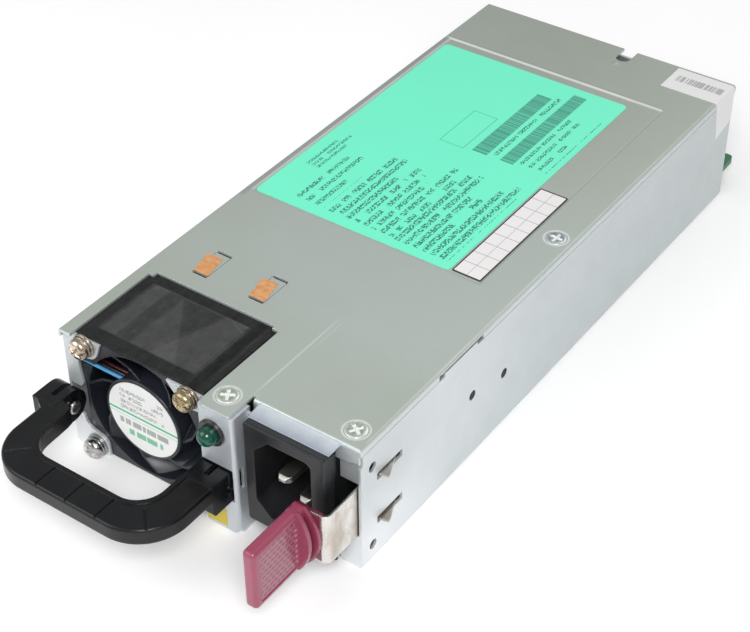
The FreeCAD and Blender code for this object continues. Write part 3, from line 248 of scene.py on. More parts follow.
def cover_marks(f, tone, height):
    """Marks of the cover: creases with a painted highlight, painted shade towards the rear, a painted
    highlight and shade line at the rear step, painted light on the recess's right side, screw rings, a lip
    and flank painted paler as painted light, and painted shade along the left edge.
    """
    step_y = 171.2 * mm
    step_x = f.band("X", left + 1.0 * mm, left + 74.5 * mm, 0.5 * mm)
    # Painted shade: the cover darkens towards its rear, where less light falls.
    tone = f.blend(f.span(f.axis("Y"), 40 * mm, 190 * mm, 0.0, 0.65), tone, (0.37, 0.41, 0.355))
    long_crease = f.band("X", left + 54.1 * mm, left + 54.6 * mm, 0.2 * mm)
    long_crease = f.times(long_crease, f.band("Y", 10.5 * mm, 40 * mm, 4 * mm))
    short_crease = f.band("X", left + 55.7 * mm, left + 56.0 * mm, 0.2 * mm)
    short_crease = f.times(short_crease, f.band("Y", 30 * mm, 42 * mm, 3 * mm))
    creases = f.most(long_crease, f.times(short_crease, 0.6))
    # Painted highlight: the creases are painted lighter; the height below gives them their real relief.
    tone = f.blend(f.times(creases, 0.42), tone, (0.86, 0.88, 0.86))
    height = f.plus(height, f.times(creases, 1.2))
    # Painted highlight along the rear step's edge, and a painted shade line just behind it.
    bright = f.times(f.band("Y", step_y - 0.35 * mm, step_y + 0.35 * mm, 0.2 * mm), step_x)
    dark = f.times(f.band("Y", step_y + 0.5 * mm, step_y + 0.8 * mm, 0.2 * mm), step_x)
    tone = f.blend(f.times(bright, 0.62), tone, (0.92, 0.93, 0.91))
    tone = f.blend(f.times(dark, 0.35), tone, (0.16, 0.17, 0.16))
    # Painted light: lightens the shade on the right side of the label recess.
    side = f.band("X", left + 74.2 * mm, left + 75.3 * mm, 0.1 * mm)
    side = f.times(side, f.band("Y", 119.0 * mm, 170.8 * mm, 0.4 * mm))
    tone = f.blend(f.times(side, 0.12), tone, (0.74, 0.78, 0.74))
    # Painted shade: a darker purple-grey band along the cover's left edge.
    edge = f.band("X", left - 1.0 * mm, left + 2.1 * mm, 0.4 * mm)
    edge = f.times(edge, f.band("Y", 70 * mm, 170.5 * mm, 1.0 * mm))
    tone = f.blend(f.times(edge, 0.35), tone, (0.26, 0.24, 0.28))
    for a, b in head_centres("cover_screws", [0, 1]):
        far = f.disc(a, b)
        ring = f.times(f.span(far, 2.8 * mm, 3.0 * mm), f.span(far, 3.4 * mm, 3.7 * mm, 1.0, 0.0))
        tone = f.blend(f.times(ring, 0.55), tone, (0.95, 0.96, 0.95))
    # Painted light: faces turned to the front and faces turned to the right are painted lighter.
    lip = f.span(f.facing("Y"), -0.9, -0.4, 1.0, 0.0)
    tone = f.blend(f.times(lip, 0.75), tone, (0.70, 0.75, 0.80))
    flank = f.span(f.facing("X"), 0.5, 0.9)
    tone = f.blend(f.times(flank, 0.7), tone, (0.64, 0.68, 0.69))
    return tone, height


def bracket_marks(f, tone, height):
    """Painted shade on the plate behind the inlet's flange: the plate there is coloured near black."""
    flange_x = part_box("inlet_housing")[0][0] - 0.2 * mm
    # Painted shade: near black behind the inlet's flange.
    behind = f.times(f.above(f.axis("X"), flange_x), f.band("Y", 4.0 * mm, 6.0 * mm))
    return f.blend(behind, tone, (0.02, 0.021, 0.022)), height


def tray_marks(f, tone, height):
    """Marks of the wall: painted shade darker towards its rear, painted light low at the front, a shaded
    joint over its tab.
    """
    # Painted shade: the wall darkens towards its rear.
    rear = f.span(f.axis("Y"), 35 * mm, 85 * mm, 0.0, 0.52)
    tone = f.blend(rear, tone, (0.475, 0.52, 0.52))
    # Painted light: the wall is lighter low at the front.
    front = f.span(f.axis("Y"), 15 * mm, 45 * mm, 1.0, 0.0)
    low = f.times(front, f.span(f.axis("Z"), 8 * mm, 24 * mm, 1.0, 0.0))
    joint = f.times(f.band("Y", 41.4 * mm, 55.6 * mm, 0.3 * mm), f.span(f.axis("Z"), 37.1 * mm, 37.3 * mm))
    tone = f.blend(f.times(joint, 0.85), tone, (0.045, 0.05, 0.045))
    return f.blend(f.times(low, 0.8), tone, (0.86, 0.88, 0.90)), height


def head_centres(node, flat, reach=0.009):
    """Middle of each screw or blade of a node on one plane: points within reach of one are one piece."""
    mesh = nodes[node].data
    points = np.empty(len(mesh.vertices) * 3)
    mesh.vertices.foreach_get("co", points)
    points = points.reshape(-1, 3)[:, flat]
    centres = []
    while len(points):
        near = np.hypot(*(points - points[0]).T) < reach
        group = points[near]
        centres.append(tuple(float(v) for v in (group.min(axis=0) + group.max(axis=0)) / 2))
        points = points[~near]
    return centres


def polished_steel(name, color, rough):
    """Bare metal with long polishing streaks and small stains."""
    f = Finish(name, color, rough, 1.0)
    streak = f.noise(1.0, 3, 0.7, at=f.placed(stretch=(120, 120, 2600)))
    stain = f.span(f.noise(180, 3, 0.6), 0.45, 0.75)
    f.put("Base Color", f.blend(f.times(stain, 0.45), color, tuple(0.6 * c for c in color)))
    f.put("Roughness", f.span(streak, 0.3, 0.7, rough - 0.06, rough + 0.12))
    f.relief(streak, 0.08, 0.00008, edge=0.0002)
    return f.mat


def plated_screw(name, bright, dull):
    """Plated screw with colour that drifts over the head."""
    f = Finish(name, bright, 0.2, 1.0)
    drift = f.span(f.noise(420, 2, 0.5), 0.35, 0.65)
    f.put("Base Color", f.blend(drift, bright, dull))
    f.put("Roughness", f.span(f.noise(1500, 2, 0.6), 0.3, 0.7, 0.16, 0.34))
    f.relief(f.noise(1800, 2, 0.6), 0.12, 0.00008, edge=0.00025)
    return f.mat


def moulded_plastic(name, color, rough, grain=2200, strength=0.12, coat=0.0, dust=0.05, shine=0.5):
    """Moulded plastic with fine grain, slight mottling and a little dust."""
    f = Finish(name, color, rough)
    mottle = f.span(f.noise(90, 3, 0.6), 0.35, 0.7)
    fine = f.noise(grain, 2, 0.6)
    pale = tuple(c + dust for c in color)
    tone = f.blend(f.times(mottle, 0.35), color, tuple(0.72 * c + 0.3 * p for c, p in zip(color, pale)))
    specks = f.span(f.noise(1400, 4, 0.7), 0.68, 0.74, 0.0, 0.35)
    f.put("Base Color", f.blend(specks, tone, pale))
    f.put("Roughness", f.span(mottle, 0, 1, rough - 0.05, rough + 0.07))
    f.put("Specular IOR Level", shine)
    f.put("Coat Weight", coat)
    f.put("Coat Roughness", 0.08)
    f.relief(fine, strength, 0.00006, edge=0.0004)
    return f.mat


def printed_sheet(name, color, rough=0.45):
    """Plain printed sheet with the faint tooth of coated paper."""
    f = Finish(name, color, rough)
    tooth = f.noise(2400, 2, 0.6)
    drift = f.span(f.noise(60, 2, 0.5), 0.35, 0.65)
    f.put("Base Color", f.blend(f.times(drift, 0.12), color, tuple(0.88 * c for c in color)))
    f.relief(tooth, 0.06, 0.00005)
    return f


def led_glass():
    """Deep green clear lens in painted shade, lighter towards the bottom and darker towards the top."""
    f = Finish("led_green", (0.0, 0.09, 0.05), 0.06)
    f.put("IOR", 1.4)
    f.put("Coat Weight", 0.5)
    f.put("Coat Roughness", 0.03)
    lo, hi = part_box("led_lens")
    # Painted shade: the lens goes from lighter at the bottom to darker at the top.
    core = f.span(f.axis("Z"), lo[2], hi[2])
    f.put("Base Color", f.blend(core, (0.0, 0.13, 0.075), (0.0, 0.040, 0.024)))
    f.put("Subsurface Weight", 0.1)
    f.relief(f.noise(900, 1, 0.5), 0.03, 0.0001)
    return f.mat


def mint_label():
    """Mint rating label: rows of broken strokes, two blocks of bars and an empty box, with no words."""
    f = printed_sheet("label_mint", (0.165, 0.88, 0.59), 0.38)
    x = f.axis("X")
    y = f.axis("Y")
    paper = f.shader.inputs["Base Color"].links[0].from_socket

    def patch(x0, x1, y0, y1):
        return f.field(left + x0 * mm, left + x1 * mm, y0 * mm, y1 * mm)

    def rows(first, pitch, height, seed, box, gap, start=0.0, ragged=0.0):
        first_row = left + first * mm
        strokes = f.crumbs(y, x, first_row, pitch * mm, height, seed, gap, start * mm, ragged * mm)
        return f.times(strokes, patch(*box))

    # First row, pitch, share of ink, seed, box, gaps, and where the ragged ends start and how far they reach.
    parts = [rows(46.4, 2.76, 0.62, 1.0, (46, 63.2, 77.0, 121), 0.36, 104, 17),
             rows(24.9, 2.76, 0.58, 2.0, (24.6, 46, 77.5, 119), 0.40, 96, 24),
             rows(13.8, 3.1, 0.46, 3.0, (13.6, 23.2, 78, 113), 0.36, 88, 26),
             rows(6.6, 1.7, 0.55, 4.0, (6.2, 11.6, 92, 112), 0.34, 100, 12),
             rows(54.9, 2.8, 0.42, 5.0, (54.6, 63.6, 125, 164), 0.38, 140, 24),
             rows(46.6, 2.4, 0.55, 6.0, (46.4, 48.4, 125, 160), 0.38)]
    words = parts[0]
    for part in parts[1:]:
        words = f.most(words, part)
    bars = f.stripes(y, x, left, 1.0, 1.0, 2600, 0.46, 2.0)
    blocks = f.most(patch(40.6, 45.4, 123.4, 158.8), patch(49.6, 53.8, 123.6, 164.4))
    block = f.times(f.most(bars, 0.42), blocks)
    outline = f.minus(patch(30.2, 38.2, 122.6, 141), patch(30.5, 37.9, 122.9, 140.7))
    marks = f.most(f.times(words, 0.85), f.most(f.times(block, 0.72), f.times(outline, 0.42)))
    f.put("Base Color", f.blend(marks, paper, (0.010, 0.13, 0.095)))
    return f.mat


def cell_label():
    """White slip with a black rim and two rows of blank cells."""
    f = printed_sheet("label_cells", (0.80, 0.78, 0.78), 0.45)
    lo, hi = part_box("table_label")
    rim = 0.4 * mm
    rule = 0.08 * mm
    centre = (lo[0] + hi[0]) / 2
    cells = 9
    inner = f.field(lo[0] + rim, hi[0] - rim, lo[1] + rim, hi[1] - rim, soft=0.05 * mm)
    middle = f.band("X", centre - rule, centre + rule, 0.05 * mm)
    step = (hi[1] - lo[1] - 2 * rim) / cells
    phase = f.fract(f.over(f.minus(f.axis("Y"), lo[1] + rim), step))
    rung = f.above(f.size(f.minus(phase, 0.5)), 0.475)
    lines = f.times(f.most(middle, rung), 0.55)
    paper = f.shader.inputs["Base Color"].links[0].from_socket
    ruled = f.blend(lines, paper, (0.06, 0.06, 0.065))
    f.put("Base Color", f.blend(inner, (0.012, 0.012, 0.012), ruled))
    return f.mat


def hub_label():
    """White disc with two green rules, small strokes above them and rows of bars below."""
    f = printed_sheet("label_hub", (0.82, 0.83, 0.82), 0.40)
    split = f.add("ShaderNodeSeparateXYZ")
    f.wire(split, "Vector", f.placed(move=(-fan_x, 0, -fan_z)))
    x = split.outputs["X"]
    z = split.outputs["Z"]

    def level(low, high, soft=0.08 * mm):
        return f.times(f.span(z, low - soft, low + soft), f.span(z, high - soft, high + soft, 1.0, 0.0))

    def within(marks, low, high, half):
        return f.times(f.times(marks, level(low, high)), f.below(f.size(x), half))

    paper = f.shader.inputs["Base Color"].links[0].from_socket
    rules = f.most(level(-0.4 * mm, 0.2 * mm), f.times(level(-1.4 * mm, -1.2 * mm), 0.6))
    tone = f.blend(rules, paper, (0.03, 0.50, 0.20))
    fine = f.crumbs(x, z, 1.0 * mm, 1.8 * mm, 0.62, 1.0, 0.40)
    fine = within(fine, 1.0 * mm, 8.0 * mm, 7.0 * mm)
    wide = f.stripes(x, z, -4.2 * mm, 2.6 * mm, 0.75, 900, 0.44, 4.0)
    wide = within(wide, -4.1 * mm, -2.3 * mm, 7.8 * mm)
    tone = f.blend(f.times(f.most(fine, wide), 0.62), tone, (0.10, 0.10, 0.10))
    leaf = f.stripes(x, z, -7.2 * mm, 2.6 * mm, 0.8, 800, 0.42, 6.0)
    leaf = within(leaf, -7.1 * mm, -5.3 * mm, 5.8 * mm)
    f.put("Base Color", f.blend(f.times(leaf, 0.8), tone, (0.04, 0.42, 0.20)))
    return f.mat


def corner_slip():
    """White folded slip with one row of plain grey bars."""
    f = printed_sheet("label_white", (0.76, 0.76, 0.76), 0.45)
    lo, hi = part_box("corner_label")
    bars = f.stripes(f.axis("X"), f.axis("Y"), lo[1] + 4.8 * mm, 20 * mm, 0.16, 1300, 0.46)
    inside = f.field(lo[0] + 2 * mm, hi[0] - 1 * mm, lo[1] + 4 * mm, hi[1] - 3 * mm)
    paper = f.shader.inputs["Base Color"].links[0].from_socket
    f.put("Base Color", f.blend(f.times(f.times(bars, inside), 0.55), paper, (0.12, 0.12, 0.13)))
    return f.mat


def lever_grip():
    """Maroon moulding whose flat sides carry offset rows of small dimples, with painted shade in the dimples,
    a painted sheen on the dimpled sides, a column of painted glints and painted shade on the rear fin.
    """
    f = Finish("lever_maroon", (0.36, 0.045, 0.10), 0.36)
    lo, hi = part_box("latch_lever")
    pitch = 1.65 * mm
    y = f.over(f.axis("Y"), pitch)
    z = f.over(f.axis("Z"), pitch * 0.87)
    odd = f.times(f.modulo(f.floor(z), 2.0), 0.5)
    dy = f.minus(f.fract(f.plus(y, odd)), 0.5)
    dz = f.minus(f.fract(z), 0.5)
    wide = f.power(f.times(dy, 0.75), 2.0)
    far = f.root(f.plus(wide, f.power(dz, 2.0)))
    pit_depth_and_shade = f.span(far, 0.20, 0.32, 1.0, 0.0)
    side = f.band("Y", lo[1] + 2.4 * mm, lo[1] + 15.0 * mm, 0.2 * mm)
    side = f.times(side, f.band("Z", lo[2] + 1.8 * mm, hi[2] - 1.8 * mm, 0.2 * mm))
    flank = f.above(f.size(f.facing("X")), 0.8)
    pit_depth_and_shade = f.times(f.times(pit_depth_and_shade, side), flank)
    field = f.times(side, flank)
    mottle = f.span(f.noise(160, 3, 0.6), 0.35, 0.7)
    tone = f.blend(f.times(mottle, 0.35), (0.30, 0.045, 0.095), (0.24, 0.030, 0.070))
    # Painted sheen: the dimpled flat sides are painted lighter and pinker.
    tone = f.blend(f.times(field, 0.60), tone, (0.38, 0.13, 0.19))
    # Painted shade in the dimples; the same mask sinks them in the bump.
    tone = f.blend(f.times(pit_depth_and_shade, 0.72), tone, (0.13, 0.025, 0.055))
    # Painted glints: a column of small light pink dots along the fin's base.
    row = f.size(f.minus(f.fract(f.over(f.axis("Z"), 1.7 * mm)), 0.5))
    glint_dots = f.times(f.below(row, 0.2), f.field(-9.3 * mm, -8.6 * mm, lo[2] + 3 * mm, hi[2] - 3 * mm, "YZ"))
    glint_dots = f.times(glint_dots, f.below(f.axis("X"), right - 6.4 * mm))
    tone = f.blend(f.times(f.times(glint_dots, flank), 0.6), tone, (0.80, 0.42, 0.50))
    # Painted shade: the fin behind is painted darker.
    tone = f.blend(f.above(f.axis("Y"), -5.2 * mm), tone, (0.15, 0.015, 0.035))
    f.put("Base Color", tone)
    f.put("Roughness", f.span(f.noise(700, 2, 0.6), 0.3, 0.7, 0.30, 0.42))
    f.put("Coat Weight", 0.45)
    f.put("Coat Roughness", 0.06)
    f.relief(f.minus(f.times(f.noise(2200, 2, 0.6), 0.12), pit_depth_and_shade), 0.6, 0.0003, edge=0.0004)
    return f.mat


def spring_strip():
    """Bright spring steel with upright brown-grey painted reflections and stains."""
    f = Finish("spring_strip", (0.74, 0.71, 0.67), 0.24, 1.0)
    streak = f.noise(1.0, 3, 0.65, at=f.placed(stretch=(150, 150, 60)))
    stain = f.span(f.noise(260, 4, 0.65, warp=0.8), 0.45, 0.70)
    # Painted reflections: upright brown-grey streaks in the colour.
    tone = f.blend(f.span(streak, 0.38, 0.64), (0.76, 0.74, 0.72), (0.52, 0.47, 0.41))
    tone = f.blend(f.times(stain, 0.4), tone, (0.40, 0.34, 0.27))
    f.put("Base Color", tone)
    f.put("Roughness", f.span(streak, 0.3, 0.7, 0.20, 0.38))
    f.relief(f.plus(streak, f.times(f.noise(1200, 2, 0.6), 0.2)), 0.12, 0.0002, edge=0.0002)
    return f.mat


def lead_sleeves():
    """Three leads in one bundle: the outer one blue, the middle one black, the inner one dark red."""
    f = Finish("lead_sleeves", (0.05, 0.22, 0.46), 0.32)
    outer = f.most(f.below(f.axis("Y"), 3.62 * mm), f.below(f.axis("X"), left + 2.38 * mm))
    middle = f.most(f.below(f.axis("Y"), 4.77 * mm), f.below(f.axis("X"), left + 3.53 * mm))
    tone = f.blend(middle, (0.05, 0.008, 0.012), (0.010, 0.010, 0.012))
    shade = f.span(f.noise(300, 2, 0.5), 0.3, 0.7)
    tone = f.blend(outer, tone, f.blend(shade, (0.045, 0.24, 0.50), (0.07, 0.32, 0.60)))
    f.put("Base Color", tone)
    f.put("Coat Weight", 0.3)
    f.relief(f.noise(1500, 2, 0.5), 0.06, 0.00005)
    return f.mat


def cover_screw_plating(looks):
    """Plated heads with a pale edge, a recess painted bright as a painted highlight and a tint for each head.
    """
    f = Finish("screw_zinc", (0.6, 0.6, 0.55), 0.22, 1.0)
    drift = f.span(f.noise(700, 2, 0.5), 0.35, 0.65)
    tone = (0.5, 0.5, 0.45)
    for (a, b), (bright, dull, edge) in zip(head_centres("cover_screws", [0, 1]), looks):
        far = f.disc(a, b)
        plate = f.blend(drift, bright, dull)
        plate = f.blend(f.span(far, 1.9 * mm, 2.7 * mm), plate, edge)
        tone = f.blend(f.below(far, 4.5 * mm), tone, plate)
    # Painted highlight: the cross recess is painted near white.
    recess = f.below(f.axis("Z"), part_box("cover_screws")[1][2] - 0.25 * mm)
    f.put("Base Color", f.blend(f.times(recess, 0.8), tone, (0.93, 0.94, 0.92)))
    f.put("Metallic", f.span(recess, 0, 1, 0.6, 0.2))
    f.put("Roughness", f.span(f.noise(1500, 2, 0.6), 0.3, 0.7, 0.16, 0.34))
    f.relief(f.noise(1800, 2, 0.6), 0.15, 0.00008, edge=0.0002)
    return f.mat


def amber_tape():
    """Clear amber heat-proof tape with small wrinkles."""
    f = Finish("tape_amber", (0.62, 0.27, 0.09), 0.3)
    wrinkle = f.noise(500, 3, 0.6, at=f.placed(stretch=(1, 2.5, 1), turn=(0, 0, 0.4)))
    f.put("Base Color", f.blend(f.span(wrinkle, 0.35, 0.65), (0.56, 0.23, 0.07), (0.70, 0.36, 0.15)))
    f.put("Coat Weight", 0.5)
    f.relief(wrinkle, 0.5, 0.0002)
    return f.mat


def yellow_patch():
    """Worn yellow sticker with no marks."""
    f = printed_sheet("patch_yellow", (0.62, 0.50, 0.04), 0.4)
    return f.mat


# Screw tints: bright, dull and edge.
green_head = ((0.50, 0.57, 0.47), (0.36, 0.42, 0.34), (0.74, 0.78, 0.74))
slate_head = ((0.40, 0.46, 0.48), (0.26, 0.31, 0.32), (0.62, 0.66, 0.66))
gold_head = ((0.72, 0.62, 0.38), (0.34, 0.27, 0.16), (0.30, 0.27, 0.24))
rose_head = ((0.80, 0.70, 0.58), (0.42, 0.33, 0.24), (0.40, 0.36, 0.34))
grey_head = ((0.78, 0.77, 0.76), (0.42, 0.41, 0.40), (0.36, 0.36, 0.36))
steel_green = (0.45, 0.505, 0.435)
steel_blue = (0.54, 0.595, 0.575)
finishes = {
    "top_cover": zinc_sheet("zinc_cover", steel_green, steel_blue, cover_marks),
    "chassis_tray": zinc_sheet("zinc_tray", (0.58, 0.62, 0.63), (0.70, 0.74, 0.76), tray_marks),
    "front_bracket": zinc_sheet("zinc_bracket", (0.56, 0.60, 0.63), (0.67, 0.71, 0.76), bracket_marks),
    "fan_bracket": zinc_sheet("zinc_inner", (0.60, 0.64, 0.65), (0.72, 0.76, 0.78)),
    "rear_panel": "fan_bracket",
    "cover_screws": cover_screw_plating([green_head, green_head, slate_head]),
    "fan_screws": plated_screw("screw_yellow", (0.86, 0.82, 0.68), (0.62, 0.52, 0.26)),
    "board_screws": plated_screw("screw_plain", (0.80, 0.84, 0.78), (0.55, 0.60, 0.52)),
    "handle_pins": polished_steel("pin_steel", (0.62, 0.61, 0.60), 0.25),
    "latch_arm": spring_strip(),
    "latch_rivets": polished_steel("rivet_dark", (0.035, 0.037, 0.038), 0.5),
    "latch_base": "latch_arm",
    "board_standoffs": "handle_pins",
    "fan_shaft": "handle_pins",
    "fan_bearings": "handle_pins",
    "fan_frame": moulded_plastic("fan_plastic", (0.014, 0.017, 0.024), 0.34),
    "fan_impeller": moulded_plastic("rotor_plastic", (0.013, 0.018, 0.028), 0.30),
    "led_bezel": moulded_plastic("bezel_plastic", (0.012, 0.012, 0.013), 0.25, coat=0.4),
    "inlet_housing": moulded_plastic("inlet_plastic", (0.013, 0.014, 0.016), 0.34, strength=0.25,
                                     dust=0.15, shine=0.32),
    "inlet_blades": polished_steel("blade_nickel", (0.50, 0.49, 0.46), 0.35),
    "handle": moulded_plastic("handle_gloss", (0.0035, 0.004, 0.005), 0.27, grain=900, strength=0.10,
                              coat=0.03, dust=0.03, shine=0.32),
    "main_board": moulded_plastic("board_mask", (0.02, 0.16, 0.07), 0.4),
    "control_board": "main_board",
    "edge_contacts": polished_steel("contact_gold", (0.85, 0.62, 0.25), 0.3),
    "base_insulator": moulded_plastic("insulator_film", (0.02, 0.02, 0.022), 0.5),
    "fan_film": moulded_plastic("film_black", (0.026, 0.027, 0.028), 0.42, grain=700, strength=0.3),
    "filter_choke": polished_steel("enamel_copper", (0.60, 0.28, 0.12), 0.35),
    "fan_stator": "filter_choke",
    "filter_capacitors": moulded_plastic("capacitor_yellow", (0.55, 0.40, 0.06), 0.4),
    "transformer_winding": "filter_capacitors",
    "bulk_capacitors": moulded_plastic("sleeve_black", (0.02, 0.02, 0.03), 0.35),
    "output_capacitors": "bulk_capacitors",
    "switch_packages": "bulk_capacitors",
    "transformer_core": moulded_plastic("ferrite", (0.04, 0.04, 0.045), 0.6),
    "output_choke": "transformer_core",
    "switch_heatsink": polished_steel("heatsink", (0.72, 0.73, 0.74), 0.4),
    "inlet_leads": moulded_plastic("lead_sleeve", (0.12, 0.05, 0.02), 0.45),
    "fan_leads": lead_sleeves(),
    "fan_plug": moulded_plastic("plug_white", (0.62, 0.60, 0.54), 0.45),
    "led_lens": led_glass(),
    "rating_label": mint_label(),
    "table_label": cell_label(),
    "corner_label": corner_slip(),
    "latch_lever": lever_grip(),
    "fan_label": hub_label(),
    "strap_tapes": amber_tape(),
    "column_patch": yellow_patch(),
}


def dress(obj, mat):
    """Gives a piece one material."""
    obj.data.materials.clear()
    obj.data.materials.append(mat)


# A name in the table stands for the finish of the node of that name.
for node_name, finish in finishes.items():
    if isinstance(finish, str):
        finish = finishes[finish]
    slots = nodes[node_name].data.materials
    if len(slots) == 0:
        slots.append(finish)
    for i in range(len(slots)):
        slots[i] = finish


# ------------------------------------------------------------------ formed pieces
def smooth(value, low, high):
    """Cubic step: t = (value - low) / (high - low) held in 0..1, then 3t^2 - 2t^3."""
    t = np.clip((value - low) / (high - low), 0.0, 1.0)
    return t * t * (3 - 2 * t)


def ripple(x, y, waves, shortest, longest):
    """Sum of plane waves sin(k.(x, y) + phase) / waves, each turned by the golden angle, lengths in mm."""
    total = np.zeros_like(x)
    for i in range(waves):
        length = shortest * (longest / shortest) ** (i / (waves - 1))
        turn = 2.39996 * i
        total += np.sin(2 * np.pi / length * (x * np.cos(turn) + y * np.sin(turn)) + 1.7 * i) / waves
    return total


def grid_mesh(name, points, faces, shade):
    """A mesh from an array of points and an array of quads, in millimetres, with one value per point."""
    mesh = bpy.data.meshes.new(name)
    mesh.vertices.add(len(points))
    mesh.vertices.foreach_set("co", (points * mm).ravel())
    mesh.loops.add(faces.size)
    mesh.loops.foreach_set("vertex_index", faces.ravel())
    mesh.polygons.add(len(faces))
    mesh.polygons.foreach_set("loop_start", np.arange(0, faces.size, 4))
    mesh.polygons.foreach_set("loop_total", np.full(len(faces), 4))
    mesh.update(calc_edges=True)
    mesh.validate()
    mesh.shade_smooth()
    layer = mesh.attributes.new("shade", "FLOAT", "POINT")
    layer.data.foreach_set("value", shade.ravel())
    obj = bpy.data.objects.new(name, mesh)
    bpy.context.collection.objects.link(obj)
    return obj


def slab(name, x, y, top, bottom, shade):
    """Closed sheet between z = top(x, y) and a flat underside, on a grid of x (rows) and y (columns)."""
    rows, columns = x.shape
    upper = np.stack([x, y, top], axis=-1).reshape(-1, 3)
    lower = np.stack([x, y, np.full_like(x, bottom)], axis=-1).reshape(-1, 3)
    index = np.arange(rows * columns).reshape(rows, columns)
    a, b, c, d = (index[:-1, :-1], index[1:, :-1], index[1:, 1:], index[:-1, 1:])
    up = np.stack([a, b, c, d], axis=-1).reshape(-1, 4)
    down = up[:, ::-1] + rows * columns
    ring = np.concatenate([index[:-1, 0], index[-1, :-1], index[:0:-1, -1], index[0, :0:-1]])
    after = np.roll(ring, -1)
    side = np.stack([ring, ring + rows * columns, after + rows * columns, after], axis=-1)
    shades = np.concatenate([shade.ravel(), shade.ravel()])
    return grid_mesh(name, np.concatenate([upper, lower]), np.concatenate([up, down, side]), shades)


def between(value, a, b, c, d):
    """Cubic step up from a to b and down again from c to d."""
    return smooth(value, a, b) * smooth(-value, -d, -c)


def line(away, width):
    """Soft line exp(-(away / width)^2)."""
    return np.exp(-(away / width) ** 2)


def film_form(u, y):
    """Shape and tone of the film at u and y, in mm from the cover's left edge and from the inlet's front.

    The pad is a cubic step of the distance inside a rounded square. On it lie a plateau, a valley and a ridge
    at the right, two ribs, a fold between two slanting lines, and soft lines for the seams. The height is
    their weighted sum with two sums of plane waves, times the pad. The tone is painted light and shade, a
    like
    sum: painted light on the plateau's bands, ridge and seams, painted shade in the valley, the fold and off
    the plateau, shading that follows the waves, three painted glints, and painted shade towards the pad's
    rim.
    """
    centre_u, reach_u, pad_rear, reach_y, round_r = 24.45, 20.15, 30.85, 18.0, 4.4
    past_u = np.abs(u - centre_u) - reach_u + round_r
    past_y = np.abs(y - (pad_rear - reach_y)) - reach_y + round_r
    near_corner = np.hypot(np.maximum(past_u, 0), np.maximum(past_y, 0))
    inside = round_r - near_corner - np.minimum(np.maximum(past_u, past_y), 0)
    pad = smooth(inside, 0.0, 0.45)
    plateau = between(u, 7.0, 8.2, 38.3, 39.1) * between(y, 5.9, 6.9, 26.7, 27.6)
    valley = between(u, 38.8, 39.8, 41.2, 42.4)
    ridge = line(u - 42.6 - 0.15 * np.sin(0.5 * y), 0.28) * between(y, 7, 11, 25, 28)
    ribs = line(u - 13.0, 0.35) + 0.7 * line(u - 16.5, 0.4)
    rear_y, front_y, side_u = 26.9, 6.5, 38.5
    left_line = (u - 18.0) - (27.0 - y) * 0.70
    right_line = (31.5 - u) - (27.0 - y) * 0.36
    fold = smooth(np.minimum(left_line, right_line), 0.0, 1.6) * plateau
    rear_seam = line(y - rear_y + 0.10 * np.sin(0.7 * u), 0.16) * between(u, 8.5, 10.0, 38.0, 38.8)
    slant = line((y - rear_y) + (u - 33.0) * 0.48, 0.16) * between(u, 32.5, 33.5, 38.0, 38.6)
    side_seam = line(u - side_u, 0.14) * between(y, 6.5, 8.0, 23.0, 24.5)
    front_seam = line(y - front_y + 0.05 * np.sin(0.8 * u), 0.15) * between(u, 8, 9, 38, 39)
    waves = ripple(u, y, 23, 1.1, 9.0)
    lines = ripple(u + y * 0.2, y, 15, 0.45, 1.6)

    height = 0.50 + 0.16 * plateau - 0.10 * valley + 0.10 * ridge + 0.03 * ribs * plateau - 0.05 * fold
    height += 0.05 * rear_seam + 0.05 * slant + 0.03 * side_seam + 0.02 * front_seam
    height += 0.10 * waves + 0.012 * lines

    # Painted light and shade: the tone below lightens lit bands, ridge and seams and darkens the valley, fold
    # and rim.
    band = between(u, 8.0, 9.0, 12.6, 13.6)
    middle = smooth(u, 17.2, 18.4) * (1 - smooth(left_line, -0.8, 0.2))
    far_side = smooth(-right_line, -0.6, 0.6) * smooth(-u, -38.4, -37.6)
    tone = 0.30 + plateau * (0.10 + 0.30 * band + 0.26 * middle + 0.26 * far_side - 0.06 * fold)
    tone += 0.22 * waves * plateau - 0.16 * (1 - plateau)
    tone += 0.30 * ridge * (0.6 + lines) - 0.10 * valley * (1 - ridge)
    tone += 0.55 * rear_seam * (0.7 + lines) + 0.60 * slant
    tone += 0.28 * side_seam + 0.25 * front_seam * (0.7 + lines)
    # Place, spread and weight of each painted glint.
    glints = ((37.6, 26.7, 0.20, 0.50), (9.6, 26.3, 0.5, 0.30), (16.1, 10.0, 0.25, 0.25))
    for at_u, at_y, spread, weight in glints:
        tone += weight * np.exp(-((u - at_u) ** 2 + (y - at_y) ** 2) / spread)
    return pad * height, np.clip(tone, 0, 1) * (0.15 + 0.85 * pad)


def film_skin():
    """Film over the fan bay: z = low + 0.25 + height of the form, held just under the node's top."""
    (x0, y0, low), (x1, y1, top) = [[1000 * v for v in corner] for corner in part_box("fan_film")]
    across = np.linspace(x0, x1, 258) - 1000 * left
    u, y = np.meshgrid(across, np.linspace(y0, y1, 186), indexing="ij")
    height, tone = film_form(u, y)
    z = np.minimum(low + 0.25 + height, top - 0.02)
    obj = slab("bay_film", u + 1000 * left, y, z, low, tone)
    dress(obj, film_finish())
    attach(obj, "housing")
    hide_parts("fan_film")


